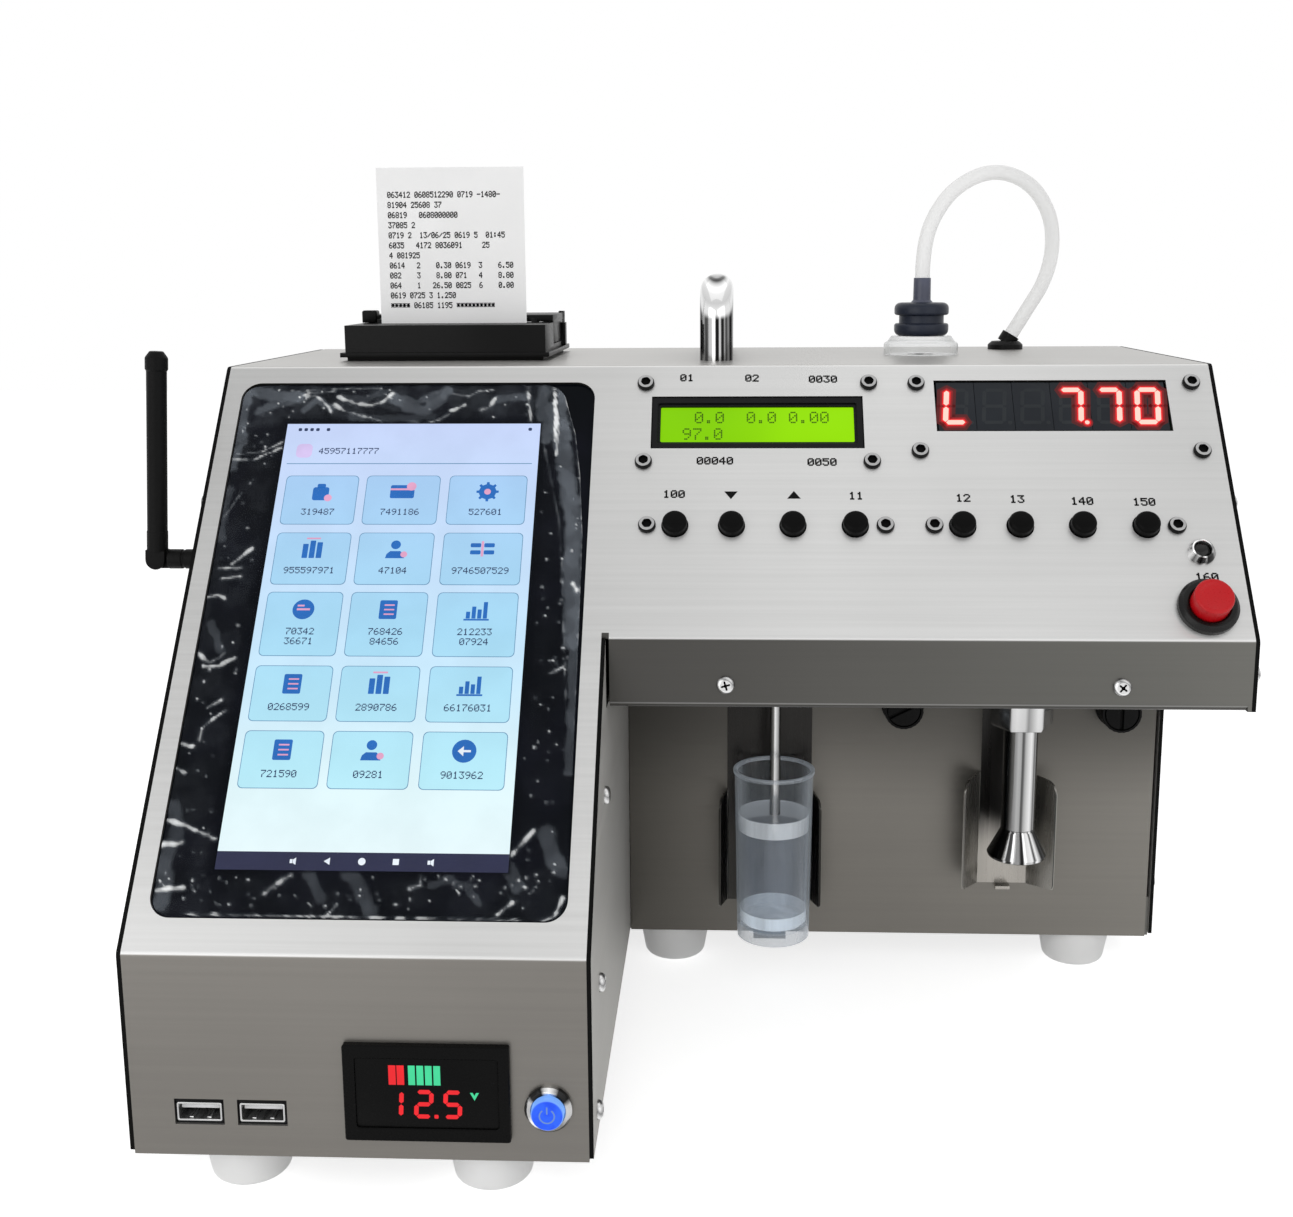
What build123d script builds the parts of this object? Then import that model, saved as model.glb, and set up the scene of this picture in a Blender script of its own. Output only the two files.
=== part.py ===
from build123d import *
from math import pi, radians, tan
import os

# Milk analyzer in a folded steel cover, with a tablet, printer, displays, keys, cup and stirrer.
# Lengths are millimetres, X runs to the right, Y to the rear and Z up.
# Sizes are laid out from the cover's lower left front corner, and the whole is moved at the end.

# Housing
cover_width = 332.4
bay_width = 132.6
front_height = 62.0
slope_run = 126.0
cover_height = 219.8
cover_depth = 250.0
apron_top = 139.6
apron_drop = 22.3
recess_setback = 158.8
sheet = 1.2
side_plate = 1.3
fold_radius = 1.2
flange_depth = 9.0
side_corner_radius = 3.0
side_plate_lift = 1.2
seam_gap = 0.2
slit_gap = 1.0
soffit_lip = 8.0
lip_gap = 0.1
overrun = 2.0

# Feet
foot_height = 14.5
foot_top_radius = 14.0
foot_base_radius = 11.4
foot_edge_radius = 2.5
foot_bore_radius = 4.0
foot_bore_depth = 9.0
front_foot_setback = 17.8
foot_inset = 28.4
second_foot_place = 102.0
inner_foot_place = 150.6
inner_foot_setback = 173.6
right_foot_inset = 25.2
rear_foot_inset = 18.0

# Screws, pan head with a round socket
screw_head_radius = 2.85
screw_head_height = 1.7
screw_socket_radius = 1.7
screw_socket_depth = 1.0
screw_round_share = 0.6
screw_radius = 1.5
screw_hole_radius = 1.65
case_screw_length = 4.0
board_screw_length = 11.0
foot_screw_length = 8.0
bore_length = 16.0

# Tablet
tablet_shift = 0.2
tablet_side_gap = 3.1
tablet_down = 99.15
tablet_window_inset = 2.7
tablet_window_rim = 2.4
tablet_window_height = 184.6
tablet_window_corner = 6.5
glass_thickness = 1.1
glass_corner = 8.0
screen_side_rim = 18.2
screen_end_rim = 15.2
screen_thickness = 1.6
screen_rise = 0.5
tablet_thickness = 7.5
film_bare_width = 13.0
film_bare_height = 12.6
film_thickness = 0.2
film_gap = 0.2
film_shift = -3.5
film_rise = 4.0

# Line display
lcd_middle = 181.25
lcd_down = 23.0
lcd_window_width = 70.6
lcd_window_height = 20.6
lcd_bezel_width = 72.4
lcd_bezel_height = 24.4
lcd_bezel_depth = 7.0
lcd_view_width = 64.5
lcd_view_height = 14.2
lcd_glass_sink = 0.8
lcd_glass_thickness = 2.0
lcd_pitch_across = 75.0
lcd_pitch_down = 31.0
lcd_board_width = 80.0
lcd_board_height = 36.0

# Digit display
digit_middle = 279.0
digit_down = 16.6
digit_count = 6
digit_width = 12.6
digit_height = 19.0
digit_depth = 8.0
digit_gap = 0.12
digit_sink = 0.4
digit_window_width = 77.0
digit_window_height = 20.2
digit_board_middle = 280.15
digit_board_down = 21.1
digit_pitch_across = 91.1
digit_pitch_down = 26.7
digit_board_width = 98.0
digit_board_height = 33.0
board_thickness = 1.6
spacer_radius = 2.8

# Keys
left_keys_place = 183.8
right_keys_place = 275.7
keys_down = 62.5
key_screw_pitch = 76.4
key_places = (-29.2, -11.0, 8.7, 28.6)
key_radius = 4.0
key_hole_radius = 4.4
key_height = 3.6
key_edge_radius = 1.3
key_flange_radius = 5.2
key_flange_thickness = 0.9
key_stem_radius = 1.7
key_stem_bore = 1.78
key_stem_grip = 2.2
key_running_gap = 0.3
key_travel = 0.5
key_switch_size = 7.2
key_switch_height = 4.2
key_standoff = 0.6
key_board_width = 82.0
key_board_height = 12.4

# Lamp
lamp_place = 320.1
lamp_down = 71.9
lamp_hole_radius = 3.95
lamp_barrel_radius = 3.9
lamp_flange_radius = 4.45
lamp_rim_radius = 3.3
lamp_height = 3.0
lamp_bore_radius = 2.7
lamp_lens_radius = 2.65
lamp_lens_height = 2.2
lamp_depth = 9.0
lamp_nut_radius = 6.0

# Push button
push_place = 319.4
push_down = 91.4
push_barrel_radius = 7.9
push_flange_radius = 9.3
push_flange_height = 3.2
push_flange_chamfer = 1.2
push_depth = 20.0
push_bore_radius = 6.15
push_cap_radius = 6.0
push_cap_height = 8.6
push_cap_edge = 0.9
push_cap_root = 7.0
push_floor = 4.0
push_nut_radius = 10.6
nut_thickness = 3.0

# Power button
power_place = 121.2
power_height = 16.9
power_barrel_radius = 5.9
power_flange_radius = 6.9
power_flange_height = 2.2
power_flange_chamfer = 1.0
power_depth = 17.0
power_bore_radius = 4.85
power_cap_radius = 4.7
power_cap_height = 4.6
power_cap_edge = 0.8
power_cap_root = 5.0
power_floor = 4.0
power_nut_radius = 8.0

# Voltmeter
meter_middle = 86.5
meter_height = 21.4
meter_bezel_width = 47.8
meter_bezel_height = 29.6
meter_bezel_thickness = 2.0
meter_bezel_corner = 0.8
meter_body_width = 45.4
meter_body_height = 26.2
meter_body_depth = 18.0
meter_window_width = 41.0
meter_window_height = 21.5
meter_window_sink = 1.2

# Sockets on the front
socket_places = (19.8, 38.2)
socket_height = 13.6
socket_hole_width = 14.5
socket_hole_height = 8.0
socket_width = 13.1
socket_shell_height = 5.7
socket_shell_wall = 0.4
socket_depth = 14.0
socket_tongue_width = 11.3
socket_tongue_height = 1.7
socket_tongue_depth = 9.0
socket_tongue_rise = 0.9
socket_board_width = 36.0
socket_board_middle = 29.0

# Printer
printer_middle = 68.2
printer_front_share = 0.589
printer_flange_width = 76.7
printer_flange_depth = 70.5
printer_flange_thickness = 1.6
printer_seal_inset = 2.3
printer_seal_thickness = 1.4
printer_box_width = 73.6
printer_box_setback = 2.5
printer_box_depth = 66.5
printer_box_height = 12.8
printer_bucket_width = 68.4
printer_bucket_inset = 3.0
printer_bucket_drop = 38.0
printer_wall = 2.5
printer_slot_setback = 26.4
printer_rear_drop = 1.0
printer_rear_length = 8.0
door_gap = 0.3
door_thickness = 2.5
door_setback = 29.0
door_overhang = 0.6
door_axle_inset = 2.3
door_axle_rise = 1.5
door_pin_radius = 1.0
door_pin_bore = 1.06
door_pin_grip = 1.2
door_ear_width = 2.0
door_ear_length = 4.6
door_ear_rise = 4.4
door_ear_gap = 0.9
door_notch_width = 8.0
door_notch_length = 12.0
door_skirt_thickness = 1.3
door_skirt_drop = 8.0
door_swing_room = 2.2
clip_thickness = 1.5
clip_length = 5.0
clip_setback = 56.0
clip_height = 8.8
clip_drop = 0.9
roller_radius = 4.0
roller_length = 56.4
roller_shaft_radius = 1.5
roller_shaft_bore = 1.56
roller_setback = 31.8
roller_drop = 5.9
roller_cheek = 2.0
roller_cheek_gap = 0.3
latch_width = 5.8
latch_length = 5.4
latch_height = 4.6
latch_edge = 0.8
latch_stem_width = 2.6
latch_stem_radius = 1.2
latch_pivot_drop = 1.6
latch_pin_radius = 0.6
latch_pin_bore = 0.65
latch_pin_grip = 0.5
latch_pocket_gap = 0.3
latch_swing_room = 0.9
paper_width = 56.0
paper_thickness = 0.3
paper_rise = 57.4
paper_gap = 0.3
roll_radius = 17.2
roll_core_radius = 6.0
roll_lift = 0.3
roll_gap = 0.4

# Carrying handle
handle_place = 167.2
handle_front_gap = 32.0
handle_rear_gap = 16.0
handle_rise = 30.6
handle_radius = 6.0
handle_bend = 12.0

# Inlet and hose
inlet_place = 244.6
inlet_rear_gap = 56.4
inlet_radius = 14.0
inlet_step_radius = 11.2
inlet_height = 7.0
inlet_step_height = 4.2
inlet_neck_radius = 5.0
inlet_neck_drop = 8.0
stopper_radius = 10.2
stopper_neck_radius = 8.4
stopper_ring_height = 4.6
stopper_neck_height = 3.2
stopper_round = 1.9
nozzle_radius = 3.2
nozzle_height = 9.2
hose_radius = 2.8
hose_bend_share = 0.45
grommet_shift = 38.2
grommet_back = 36.4
grommet_radius = 6.9
grommet_height = 3.2
grommet_round = 1.3
grommet_neck_radius = 4.6
grommet_drop = 2.4
grommet_mouth_radius = 3.6
grommet_mouth_length = 4.0
hose_turns = ((0, 0, 38.8), (3.4, 1.2, 51.2), (12.4, 5.0, 62.8), (27.0, 11.4, 69.0), (42.0, 19.2, 65.2),
              (52.0, 26.0, 53.8), (55.0, 31.4, 39.8), (52.6, 34.6, 26.6), (46.6, 36.0, 16.2),
              (40.4, 36.4, 5.8))

# Sampling pipe, stirrer and holders
pipe_place = 189.0
pipe_setback = 142.0
pipe_radius = 2.0
pipe_reach = 71.5
pipe_collar_radius = 4.0
pipe_collar_height = 3.0
pipe_tail = 9.0
stirrer_place = 276.5
stirrer_setback = 134.0
stirrer_hex_radius = 11.3
stirrer_hex_length = 28.0
stirrer_hex_chamfer = 1.8
stirrer_rod_radius = 6.05
stirrer_rod_length = 38.5
stirrer_cone_radius = 10.6
stirrer_cone_length = 9.0
stirrer_tip_length = 1.6
stirrer_tip_radius = 9.0
stirrer_stack_radius = 9.5
stirrer_stack_length = 26.0
holder_sheet = 0.8
holder_depth = 14.0
holder_wing_height = 44.0
holder_wing_rise = 2.6
holder_corner = 5.0
cup_holder_middle = 187.3
cup_holder_width = 33.4
cup_holder_flare = 2.4
cup_holder_foot = 13.4
cup_shelf_width = 12.0
cup_shelf_depth = 19.0
cup_shelf_thickness = 1.2
stirrer_holder_middle = 275.7
stirrer_holder_width = 19.4
stirrer_holder_flare = 7.4
stirrer_holder_foot = 21.4
stirrer_tab_width = 5.4
stirrer_tab_depth = 4.6
cup_place = 188.6
cup_setback = 142.3
cup_floor_level = 6.9
cup_height = 64.5
cup_rim_radius = 15.0
cup_base_radius = 13.4
cup_wall = 1.0
cup_floor = 1.4
cup_skirt = 4.0
cup_rim_thickness = 0.5
cup_rim_height = 1.4
cup_shelf_gap = 0.1

# Fuse holders under the apron
left_fuse_place = 236.5
left_fuse_level = 91.6
left_fuse_turn = 27.0
right_fuse_place = 316.0
right_fuse_level = 90.8
right_fuse_turn = 90.0
fuse_cap_radius = 7.2
fuse_cap_height = 8.0
fuse_cap_edge = 1.0
fuse_slot_width = 1.4
fuse_slot_depth = 1.6
fuse_plug_radius = 4.6
fuse_plug_length = 9.0
fuse_bore_radius = 4.66
fuse_body_radius = 6.2
fuse_body_length = 34.0
fuse_flange_radius = 7.6
fuse_flange_thickness = 1.2
fuse_running_gap = 0.3
fuse_nut_radius = 8.6

# Antenna on the left side
antenna_setback = 100.0
antenna_level = 157.2
antenna_reach = 20.3
antenna_radius = 3.3
antenna_length = 69.5
antenna_lean = 3.5
antenna_knob_radius = 3.7
antenna_knob_height = 6.0
antenna_knob_round = 2.0
antenna_collar_height = 9.5
antenna_collar_radius = 3.45
antenna_tongue = 2.4
antenna_fork_gap = 0.3
antenna_pin_radius = 0.9
antenna_pin_bore = 0.95
antenna_pin_reach = 2.7
antenna_elbow_radius = 3.3
antenna_jack_radius = 2.6
antenna_nut_radius = 4.6
antenna_nut_thickness = 2.0
antenna_jack_drop = 6.0
antenna_gap = 0.3

# Inside
main_board_width = 150.0
main_board_share = 0.68
main_board_place = 160.0
main_board_rear_gap = 4.0
board_standoff = 6.0
jack_width = 9.0
jack_height = 11.0
jack_length = 12.0
jack_bore_radius = 2.85
jack_bore_depth = 9.0
jack_shift = 46.0
jack_hole_radius = 4.2
jack_recess = 3.4
chip_size = 14.0
chip_height = 1.6
capacitor_radius = 4.0
capacitor_height = 12.0
pump_place = 205.0
pump_front = 78.0
pump_base_width = 44.0
pump_base_length = 60.0
pump_base_thickness = 3.0
pump_motor_radius = 13.5
pump_motor_length = 36.0
pump_head_radius = 16.0
pump_head_length = 14.0
pump_head_gap = 2.0
battery_place = 16.0
battery_front = 120.0
battery_inner_gap = 18.6
battery_length = 66.0
battery_height = 58.0
battery_corner = 4.0
battery_terminal_radius = 3.0
battery_terminal_height = 6.0
vent_count = 7
vent_width = 46.0
vent_height = 3.0
vent_pitch = 8.0
vent_level = 120.0
vent_place = 80.0

# Screws of the sides, apron and rear
nose_screw_setback = 13.3
low_screw_level = 8.8
brow_screw_setback = 25.6
brow_screw_level = 43.0
bay_screw_setback = 51.5
bay_screw_level = 92.4
slope_screw_setback = 98.0
slope_screw_level = 176.7
top_screw_run = 7.0
top_screw_drop = 6.2
rear_screw_inset = 6.4
wing_screw_setback = 66.5
wing_screw_level = 128.3
heel_screw_run = 6.6
heel_screw_level = 19.9
apron_left_inset = 36.2
apron_right_inset = 39.6
apron_screw_rise = 7.7

# Worked out from the sizes above
rise = cover_height - front_height
slope = Plane(origin=(0, slope_run, cover_height), x_dir=(1, 0, 0), z_dir=(0, -rise, slope_run))
front = Plane(origin=(0, 0, 0), x_dir=(1, 0, 0), z_dir=(0, -1, 0))
recess = Plane(origin=(0, recess_setback, 0), x_dir=(1, 0, 0), z_dir=(0, -1, 0))
rear = Plane(origin=(0, cover_depth, 0), x_dir=(1, 0, 0), z_dir=(0, 1, 0))
left_side = Plane(origin=(-side_plate, 0, 0), x_dir=(0, -1, 0), z_dir=(-1, 0, 0))
inner_side = Plane(origin=(bay_width + side_plate, 0, 0), x_dir=(0, 1, 0), z_dir=(1, 0, 0))
right_side = Plane(origin=(cover_width + side_plate, 0, 0), x_dir=(0, 1, 0), z_dir=(1, 0, 0))
top = Plane(origin=(0, 0, cover_height))
underside = Plane(origin=(0, 0, 0), x_dir=(1, 0, 0), z_dir=(0, 0, -1))
apron_setback = slope_run * (apron_top - front_height) / rise
apron_bottom = apron_top - apron_drop
apron = Plane(origin=(0, apron_setback, 0), x_dir=(1, 0, 0), z_dir=(0, -1, 0))
soffit_level = apron_bottom + sheet + lip_gap
apron_start = bay_width + side_plate + slit_gap
board_drop = sheet + lcd_bezel_depth
tablet_middle = bay_width / 2 - tablet_shift
glass_width = bay_width - 2 * tablet_side_gap
glass_height = tablet_window_height + 2 * tablet_window_rim
tablet_window_width = glass_width - 2 * tablet_window_inset
screen_width = glass_width - 2 * screen_side_rim
screen_height = glass_height - 2 * screen_end_rim
film_width = tablet_window_width - film_bare_width
film_height = tablet_window_height - film_bare_height
printer_front = slope_run + printer_front_share * (cover_depth - slope_run - printer_flange_depth)
handle_front = slope_run + handle_front_gap
handle_span = cover_depth - handle_rear_gap - handle_front
inlet_setback = cover_depth - inlet_rear_gap
grommet_place = inlet_place + grommet_shift
grommet_setback = inlet_setback + grommet_back
battery_width = bay_width - battery_place - battery_inner_gap
main_board_length = main_board_share * (cover_depth - recess_setback)
fuses = ((left_fuse_place, left_fuse_level, left_fuse_turn),
         (right_fuse_place, right_fuse_level, right_fuse_turn))

# Screws of the side plates as setback and level
top_screw_level = cover_height - top_screw_drop
rear_screw_setback = cover_depth - rear_screw_inset
inner_screws = ((nose_screw_setback, low_screw_level), (brow_screw_setback, brow_screw_level),
                (bay_screw_setback, bay_screw_level))
upper_screws = ((slope_screw_setback, slope_screw_level), (slope_run + top_screw_run, top_screw_level),
                (rear_screw_setback, top_screw_level), (rear_screw_setback, low_screw_level))
left_screws = inner_screws + upper_screws
right_screws = upper_screws + ((wing_screw_setback, wing_screw_level),
                               (recess_setback + heel_screw_run, heel_screw_level))
apron_screws = (apron_start + apron_left_inset, cover_width - apron_right_inset)
apron_screw_level = apron_bottom + apron_screw_rise

parts = {}


def at(plane, across, up, lift=0):
    # a place on a plane, across and up in the plane and lifted off it
    return plane.location * Pos(across, up, lift)


def disc(radius, height, lift=0):
    return Pos(0, 0, lift) * Cylinder(radius, height, align=(Align.CENTER, Align.CENTER, Align.MIN))


def block(width, height, thickness, lift=0, corner=0):
    # a plate that stands on its plane, with rounded corners if a radius is given
    face = RectangleRounded(width, height, corner) if corner else Rectangle(width, height)
    return Pos(0, 0, lift) * extrude(face, thickness)


def hexagon(radius, height, lift=0):
    return Pos(0, 0, lift) * extrude(RegularPolygon(radius, 6), height)


def turned(profile):
    # a solid turned about Z from points given as radius and height
    return revolve(Plane.XZ * make_face(Polyline(*profile, close=True)), Axis.Z)


def box_between(low, high):
    size = [b - a for a, b in zip(low, high)]
    return Pos(*low) * Box(*size, align=Align.MIN)


def edges_at(shape, height):
    # the edges that lie at one height of the shape's own frame
    return [edge for edge in shape.edges()
            if abs(edge.bounding_box().min.Z - height) < seam_gap / 2
            and abs(edge.bounding_box().max.Z - height) < seam_gap / 2]


def shifted_right(points, gap):
    # the path's points moved to its right by a gap, mitred at the folds
    spots = [Vector(*point) for point in points]
    heads = [(b - a).normalized() for a, b in zip(spots, spots[1:])]
    sides = [Vector(head.Y, -head.X) for head in heads]
    moved = [spots[0] + sides[0] * gap]
    for spot, before, after in zip(spots[1:], sides, sides[1:]):
        moved.append(spot + (before + after) * (gap / (1 + before.dot(after))))
    moved.append(spots[-1] + sides[-1] * gap)
    return [(spot.X, spot.Y) for spot in moved]


def folded_face(points, thickness, radius=fold_radius):
    # the section of a folded sheet whose material lies to the right of the path
    spots = [Vector(*point) for point in points]
    heads = [(b - a).normalized() for a, b in zip(spots, spots[1:])]
    turns = [a.X * b.Y - a.Y * b.X for a, b in zip(heads, heads[1:])]
    left_radii = [radius if turn > 0 else radius + min(thickness, sheet) for turn in turns]
    right_radii = [radius + min(thickness, sheet) if turn > 0 else radius for turn in turns]
    outer = FilletPolyline(*points, radius=left_radii)
    inner = FilletPolyline(*shifted_right(points, thickness), radius=right_radii)
    ends = [Line(outer @ 0, inner @ 0), Line(outer @ 1, inner @ 1)]
    return make_face(outer.edges() + inner.edges() + ends)


def folded(points, thickness, start, width):
    # a folded sheet whose path runs in setback and level, drawn out along X
    section = Plane(origin=(start, 0, 0), x_dir=(0, 1, 0), z_dir=(1, 0, 0))
    return extrude(section * folded_face(points, thickness), width)


def side_slab(points, start, thickness, corners):
    # a flat side plate with its named corners rounded
    section = Plane(origin=(start, 0, 0), x_dir=(0, 1, 0), z_dir=(1, 0, 0))
    outline = make_face(Polyline(*points, close=True))
    rounded = [v for v in outline.vertices()
               if any((v.center() - Vector(*c)).length < seam_gap for c in corners)]
    return extrude(section * fillet(rounded, side_corner_radius), thickness)


def screw(length):
    # a pan head screw whose head sits on the plane and whose shank runs below it
    head = disc(screw_head_radius, screw_head_height)
    head = fillet(edges_at(head, screw_head_height), screw_round_share * screw_head_height)
    socket = disc(screw_socket_radius, overrun, screw_head_height - screw_socket_depth)
    return head - socket + disc(screw_radius, length, -length)


def bore(depth=bore_length):
    return disc(screw_hole_radius, depth + overrun, -depth)


def joined(shapes):
    # separate solids kept as one group
    return Compound([solid for shape in shapes for solid in shape.solids()])


# Places of all screws, each as a place and a shank length
def rectangle_places(plane, across, up, width, height):
    return [at(plane, across + i * width / 2, up + j * height / 2) for i in (-1, 1) for j in (-1, 1)]


lcd_screw_spots = rectangle_places(slope, lcd_middle, -lcd_down, lcd_pitch_across, lcd_pitch_down)
digit_screw_spots = rectangle_places(slope, digit_board_middle, -digit_board_down,
                                     digit_pitch_across, digit_pitch_down)
key_screw_spots = [at(slope, middle + side * key_screw_pitch / 2, -keys_down)
                   for middle in (left_keys_place, right_keys_place) for side in (-1, 1)]
panel_spots = lcd_screw_spots + digit_screw_spots + key_screw_spots
left_spots = [at(left_side, -setback, level) for setback, level in left_screws]
inner_spots = [at(inner_side, setback, level) for setback, level in inner_screws]
right_spots = [at(right_side, setback, level) for setback, level in right_screws]
apron_spots = [at(apron, place, apron_screw_level) for place in apron_screws]
rear_columns = (rear_screw_inset, cover_width / 2, cover_width - rear_screw_inset)
rear_rows = (-rear_screw_inset - flange_depth, -cover_height + rear_screw_inset + sheet)
rear_spots = [at(rear, place, level) for place in rear_columns for level in rear_rows]
case_spots = left_spots + inner_spots + right_spots + apron_spots + rear_spots

foot_places = ((foot_inset, front_foot_setback), (second_foot_place, front_foot_setback),
               (inner_foot_place, inner_foot_setback),
               (cover_width - right_foot_inset, inner_foot_setback),
               (foot_inset, cover_depth - rear_foot_inset),
               (cover_width - right_foot_inset, cover_depth - rear_foot_inset))
foot_spots = [Pos(x, y, 0) for x, y in foot_places]
foot_screw_spots = [at(underside, x, -y, foot_height - foot_bore_depth) for x, y in foot_places]

screw_bores = [spot * bore() for spot in panel_spots]
screw_bores += [spot * bore(case_screw_length + overrun) for spot in case_spots]
screw_bores += [spot * bore(foot_screw_length + overrun) for spot in foot_screw_spots]


# Front cover, one sheet folded over the bay's front, the slope, the apron and the top
def make_cover():
    bay_path = ((0, 0), (0, front_height), (slope_run, cover_height), (cover_depth, cover_height))
    apron_path = ((apron_setback + soffit_lip, apron_bottom), (apron_setback, apron_bottom),
                  (apron_setback, apron_top), (slope_run, cover_height), (cover_depth, cover_height))
    cover = folded(bay_path, sheet, 0, bay_width)
    cover += folded(apron_path, sheet, apron_start, cover_width - apron_start)
    bridge = folded(bay_path, sheet, bay_width, apron_start - bay_width)
    bridge -= box_between((0, -overrun, 0), (cover_width, apron_setback + sheet, cover_height))
    cover += bridge
    bay_edge = folded(bay_path, flange_depth, 0, sheet)
    cover += bay_edge
    inner_edge = Pos(bay_width - sheet, 0, 0) * bay_edge
    inner_edge -= box_between((0, apron_setback, 0), (cover_width, cover_depth + overrun, cover_height))
    cover += inner_edge
    right_path = apron_path[1:]
    cover += folded(right_path, flange_depth, cover_width - sheet, sheet)
    cuts = [at(slope, tablet_middle, -tablet_down)
            * block(tablet_window_width, tablet_window_height, 2 * overrun + sheet,
                    -overrun - sheet, tablet_window_corner),
            at(slope, lcd_middle, -lcd_down)
            * block(lcd_window_width, lcd_window_height, 2 * overrun + sheet, -overrun - sheet),
            at(slope, digit_middle, -digit_down)
            * block(digit_window_width, digit_window_height, 2 * overrun + sheet, -overrun - sheet),
            at(slope, lamp_place, -lamp_down) * disc(lamp_hole_radius, bore_length, -bore_length / 2),
            at(slope, push_place, -push_down) * disc(push_barrel_radius, bore_length, -bore_length / 2),
            at(front, power_place, power_height)
            * disc(power_barrel_radius, bore_length, -bore_length / 2),
            at(front, meter_middle, meter_height)
            * block(meter_body_width, meter_body_height, 2 * overrun + sheet, -overrun - sheet),
            at(top, inlet_place, inlet_setback) * disc(inlet_neck_radius, bore_length, -bore_length / 2),
            at(top, grommet_place, grommet_setback)
            * disc(grommet_neck_radius, bore_length, -bore_length / 2),
            at(top, printer_middle, printer_front + printer_bucket_inset + printer_bucket_length / 2)
            * block(printer_bucket_width, printer_bucket_length, 2 * overrun + sheet, -overrun - sheet)]
    for place in socket_places:
        cuts.append(at(front, place, socket_height)
                    * block(socket_hole_width, socket_hole_height, 2 * overrun + sheet, -overrun - sheet))
    for middle in (left_keys_place, right_keys_place):
        for shift in key_places:
            cuts.append(at(slope, middle + shift, -keys_down)
                        * disc(key_hole_radius, bore_length, -bore_length / 2))
    return cover - cuts - screw_bores


# Side plates, which stand outside the cover's folded edges
def make_side_plates():
    foot_line = side_plate_lift
    bay_outline = ((0, foot_line), (0, front_height), (slope_run, cover_height),
                   (cover_depth, cover_height), (cover_depth, foot_line))
    left = side_slab(bay_outline, -side_plate, side_plate, bay_outline[1:4])
    left -= at(left_side, -antenna_setback, antenna_level) * disc(antenna_jack_radius, bore_length,
                                                                  -bore_length / 2)
    inner_end = apron_setback - seam_gap
    inner_peak = front_height + rise * inner_end / slope_run
    inner_outline = ((0, foot_line), (0, front_height), (inner_end, inner_peak),
                     (inner_end, apron_bottom - seam_gap),
                     (recess_setback - seam_gap, apron_bottom - seam_gap),
                     (recess_setback - seam_gap, foot_line))
    inner = side_slab(inner_outline, bay_width, side_plate, inner_outline[1:2])
    right_outline = ((apron_setback, apron_bottom), (apron_setback, apron_top),
                     (slope_run, cover_height), (cover_depth, cover_height),
                     (cover_depth, foot_line), (recess_setback, foot_line),
                     (recess_setback, apron_bottom))
    right = side_slab(right_outline, cover_width, side_plate, right_outline[1:4])
    parts["left_side_panel"] = left - screw_bores
    parts["inner_side_panel"] = inner - screw_bores
    parts["right_side_panel"] = right - screw_bores


# Recess panel with its soffit, one folded sheet behind the sampling bay
def make_recess_panel():
    path = ((recess_setback, 0), (recess_setback, soffit_level),
            (apron_setback + sheet + fold_radius + seam_gap, soffit_level))
    panel_start = bay_width + side_plate + seam_gap
    panel = folded(path, sheet, panel_start, cover_width - sheet - seam_gap - panel_start)
    panel -= Pos(pipe_place, pipe_setback, soffit_level) * disc(pipe_radius, bore_length,
                                                               -bore_length / 2)
    panel -= Pos(stirrer_place, stirrer_setback, soffit_level) * disc(stirrer_rod_radius, bore_length,
                                                                     -bore_length / 2)
    for place, level, turn in fuses:
        panel -= at(recess, place, level) * disc(fuse_body_radius, bore_length, -bore_length / 2)
    return panel - screw_bores


# Base plate and rear panel
def make_base():
    inner_corner = bay_width + side_plate + seam_gap
    rim = flange_depth + rear_screw_inset
    clear = flange_depth + seam_gap
    rear_end = cover_depth - sheet
    base = box_between((sheet + seam_gap, sheet, 0), (bay_width - sheet - seam_gap, recess_setback, sheet))
    base += box_between((0, clear, 0), (bay_width, rear_end, sheet))
    base += box_between((0, recess_setback + sheet, 0), (cover_width, rear_end, sheet))
    base += box_between((0, clear, 0), (sheet, rear_end, rim))
    base += box_between((bay_width - sheet, clear, 0), (bay_width, recess_setback - seam_gap, rim))
    base += box_between((cover_width - sheet, recess_setback + sheet, 0), (cover_width, rear_end, rim))
    base += box_between((inner_corner, recess_setback + sheet, 0),
                        (cover_width - sheet, recess_setback + 2 * sheet, rim))
    base += box_between((sheet, rear_end - sheet, 0), (cover_width - sheet, rear_end, rim))
    base -= box_between((jack_x - jack_width, rear_end - 2 * sheet, jack_z - jack_height),
                        (jack_x + jack_width, rear_end + sheet, jack_z + jack_height))
    for x, y in main_board_posts:
        base += Pos(x, y, sheet) * disc(spacer_radius, board_standoff)
    return base - screw_bores


def make_rear_panel():
    panel = box_between((2 * sheet, cover_depth - sheet, 0),
                        (cover_width - sheet - seam_gap, cover_depth, cover_height - sheet))
    for row in range(vent_count):
        panel -= at(rear, vent_place, -vent_level - row * vent_pitch) * Pos(0, 0, -sheet) * extrude(
            SlotOverall(vent_width, vent_height), 2 * sheet, both=True)
    panel -= at(rear, jack_x, -jack_z) * disc(jack_hole_radius, bore_length, -bore_length / 2)
    return panel - screw_bores


# Feet
def make_foot():
    foot = turned(((0, 0), (foot_top_radius, 0), (foot_base_radius, -foot_height), (0, -foot_height)))
    foot = fillet(edges_at(foot, -foot_height), foot_edge_radius)
    foot -= disc(foot_bore_radius, foot_bore_depth + overrun, -foot_height - overrun)
    return foot - disc(screw_hole_radius, foot_height + overrun, -foot_height)


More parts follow.
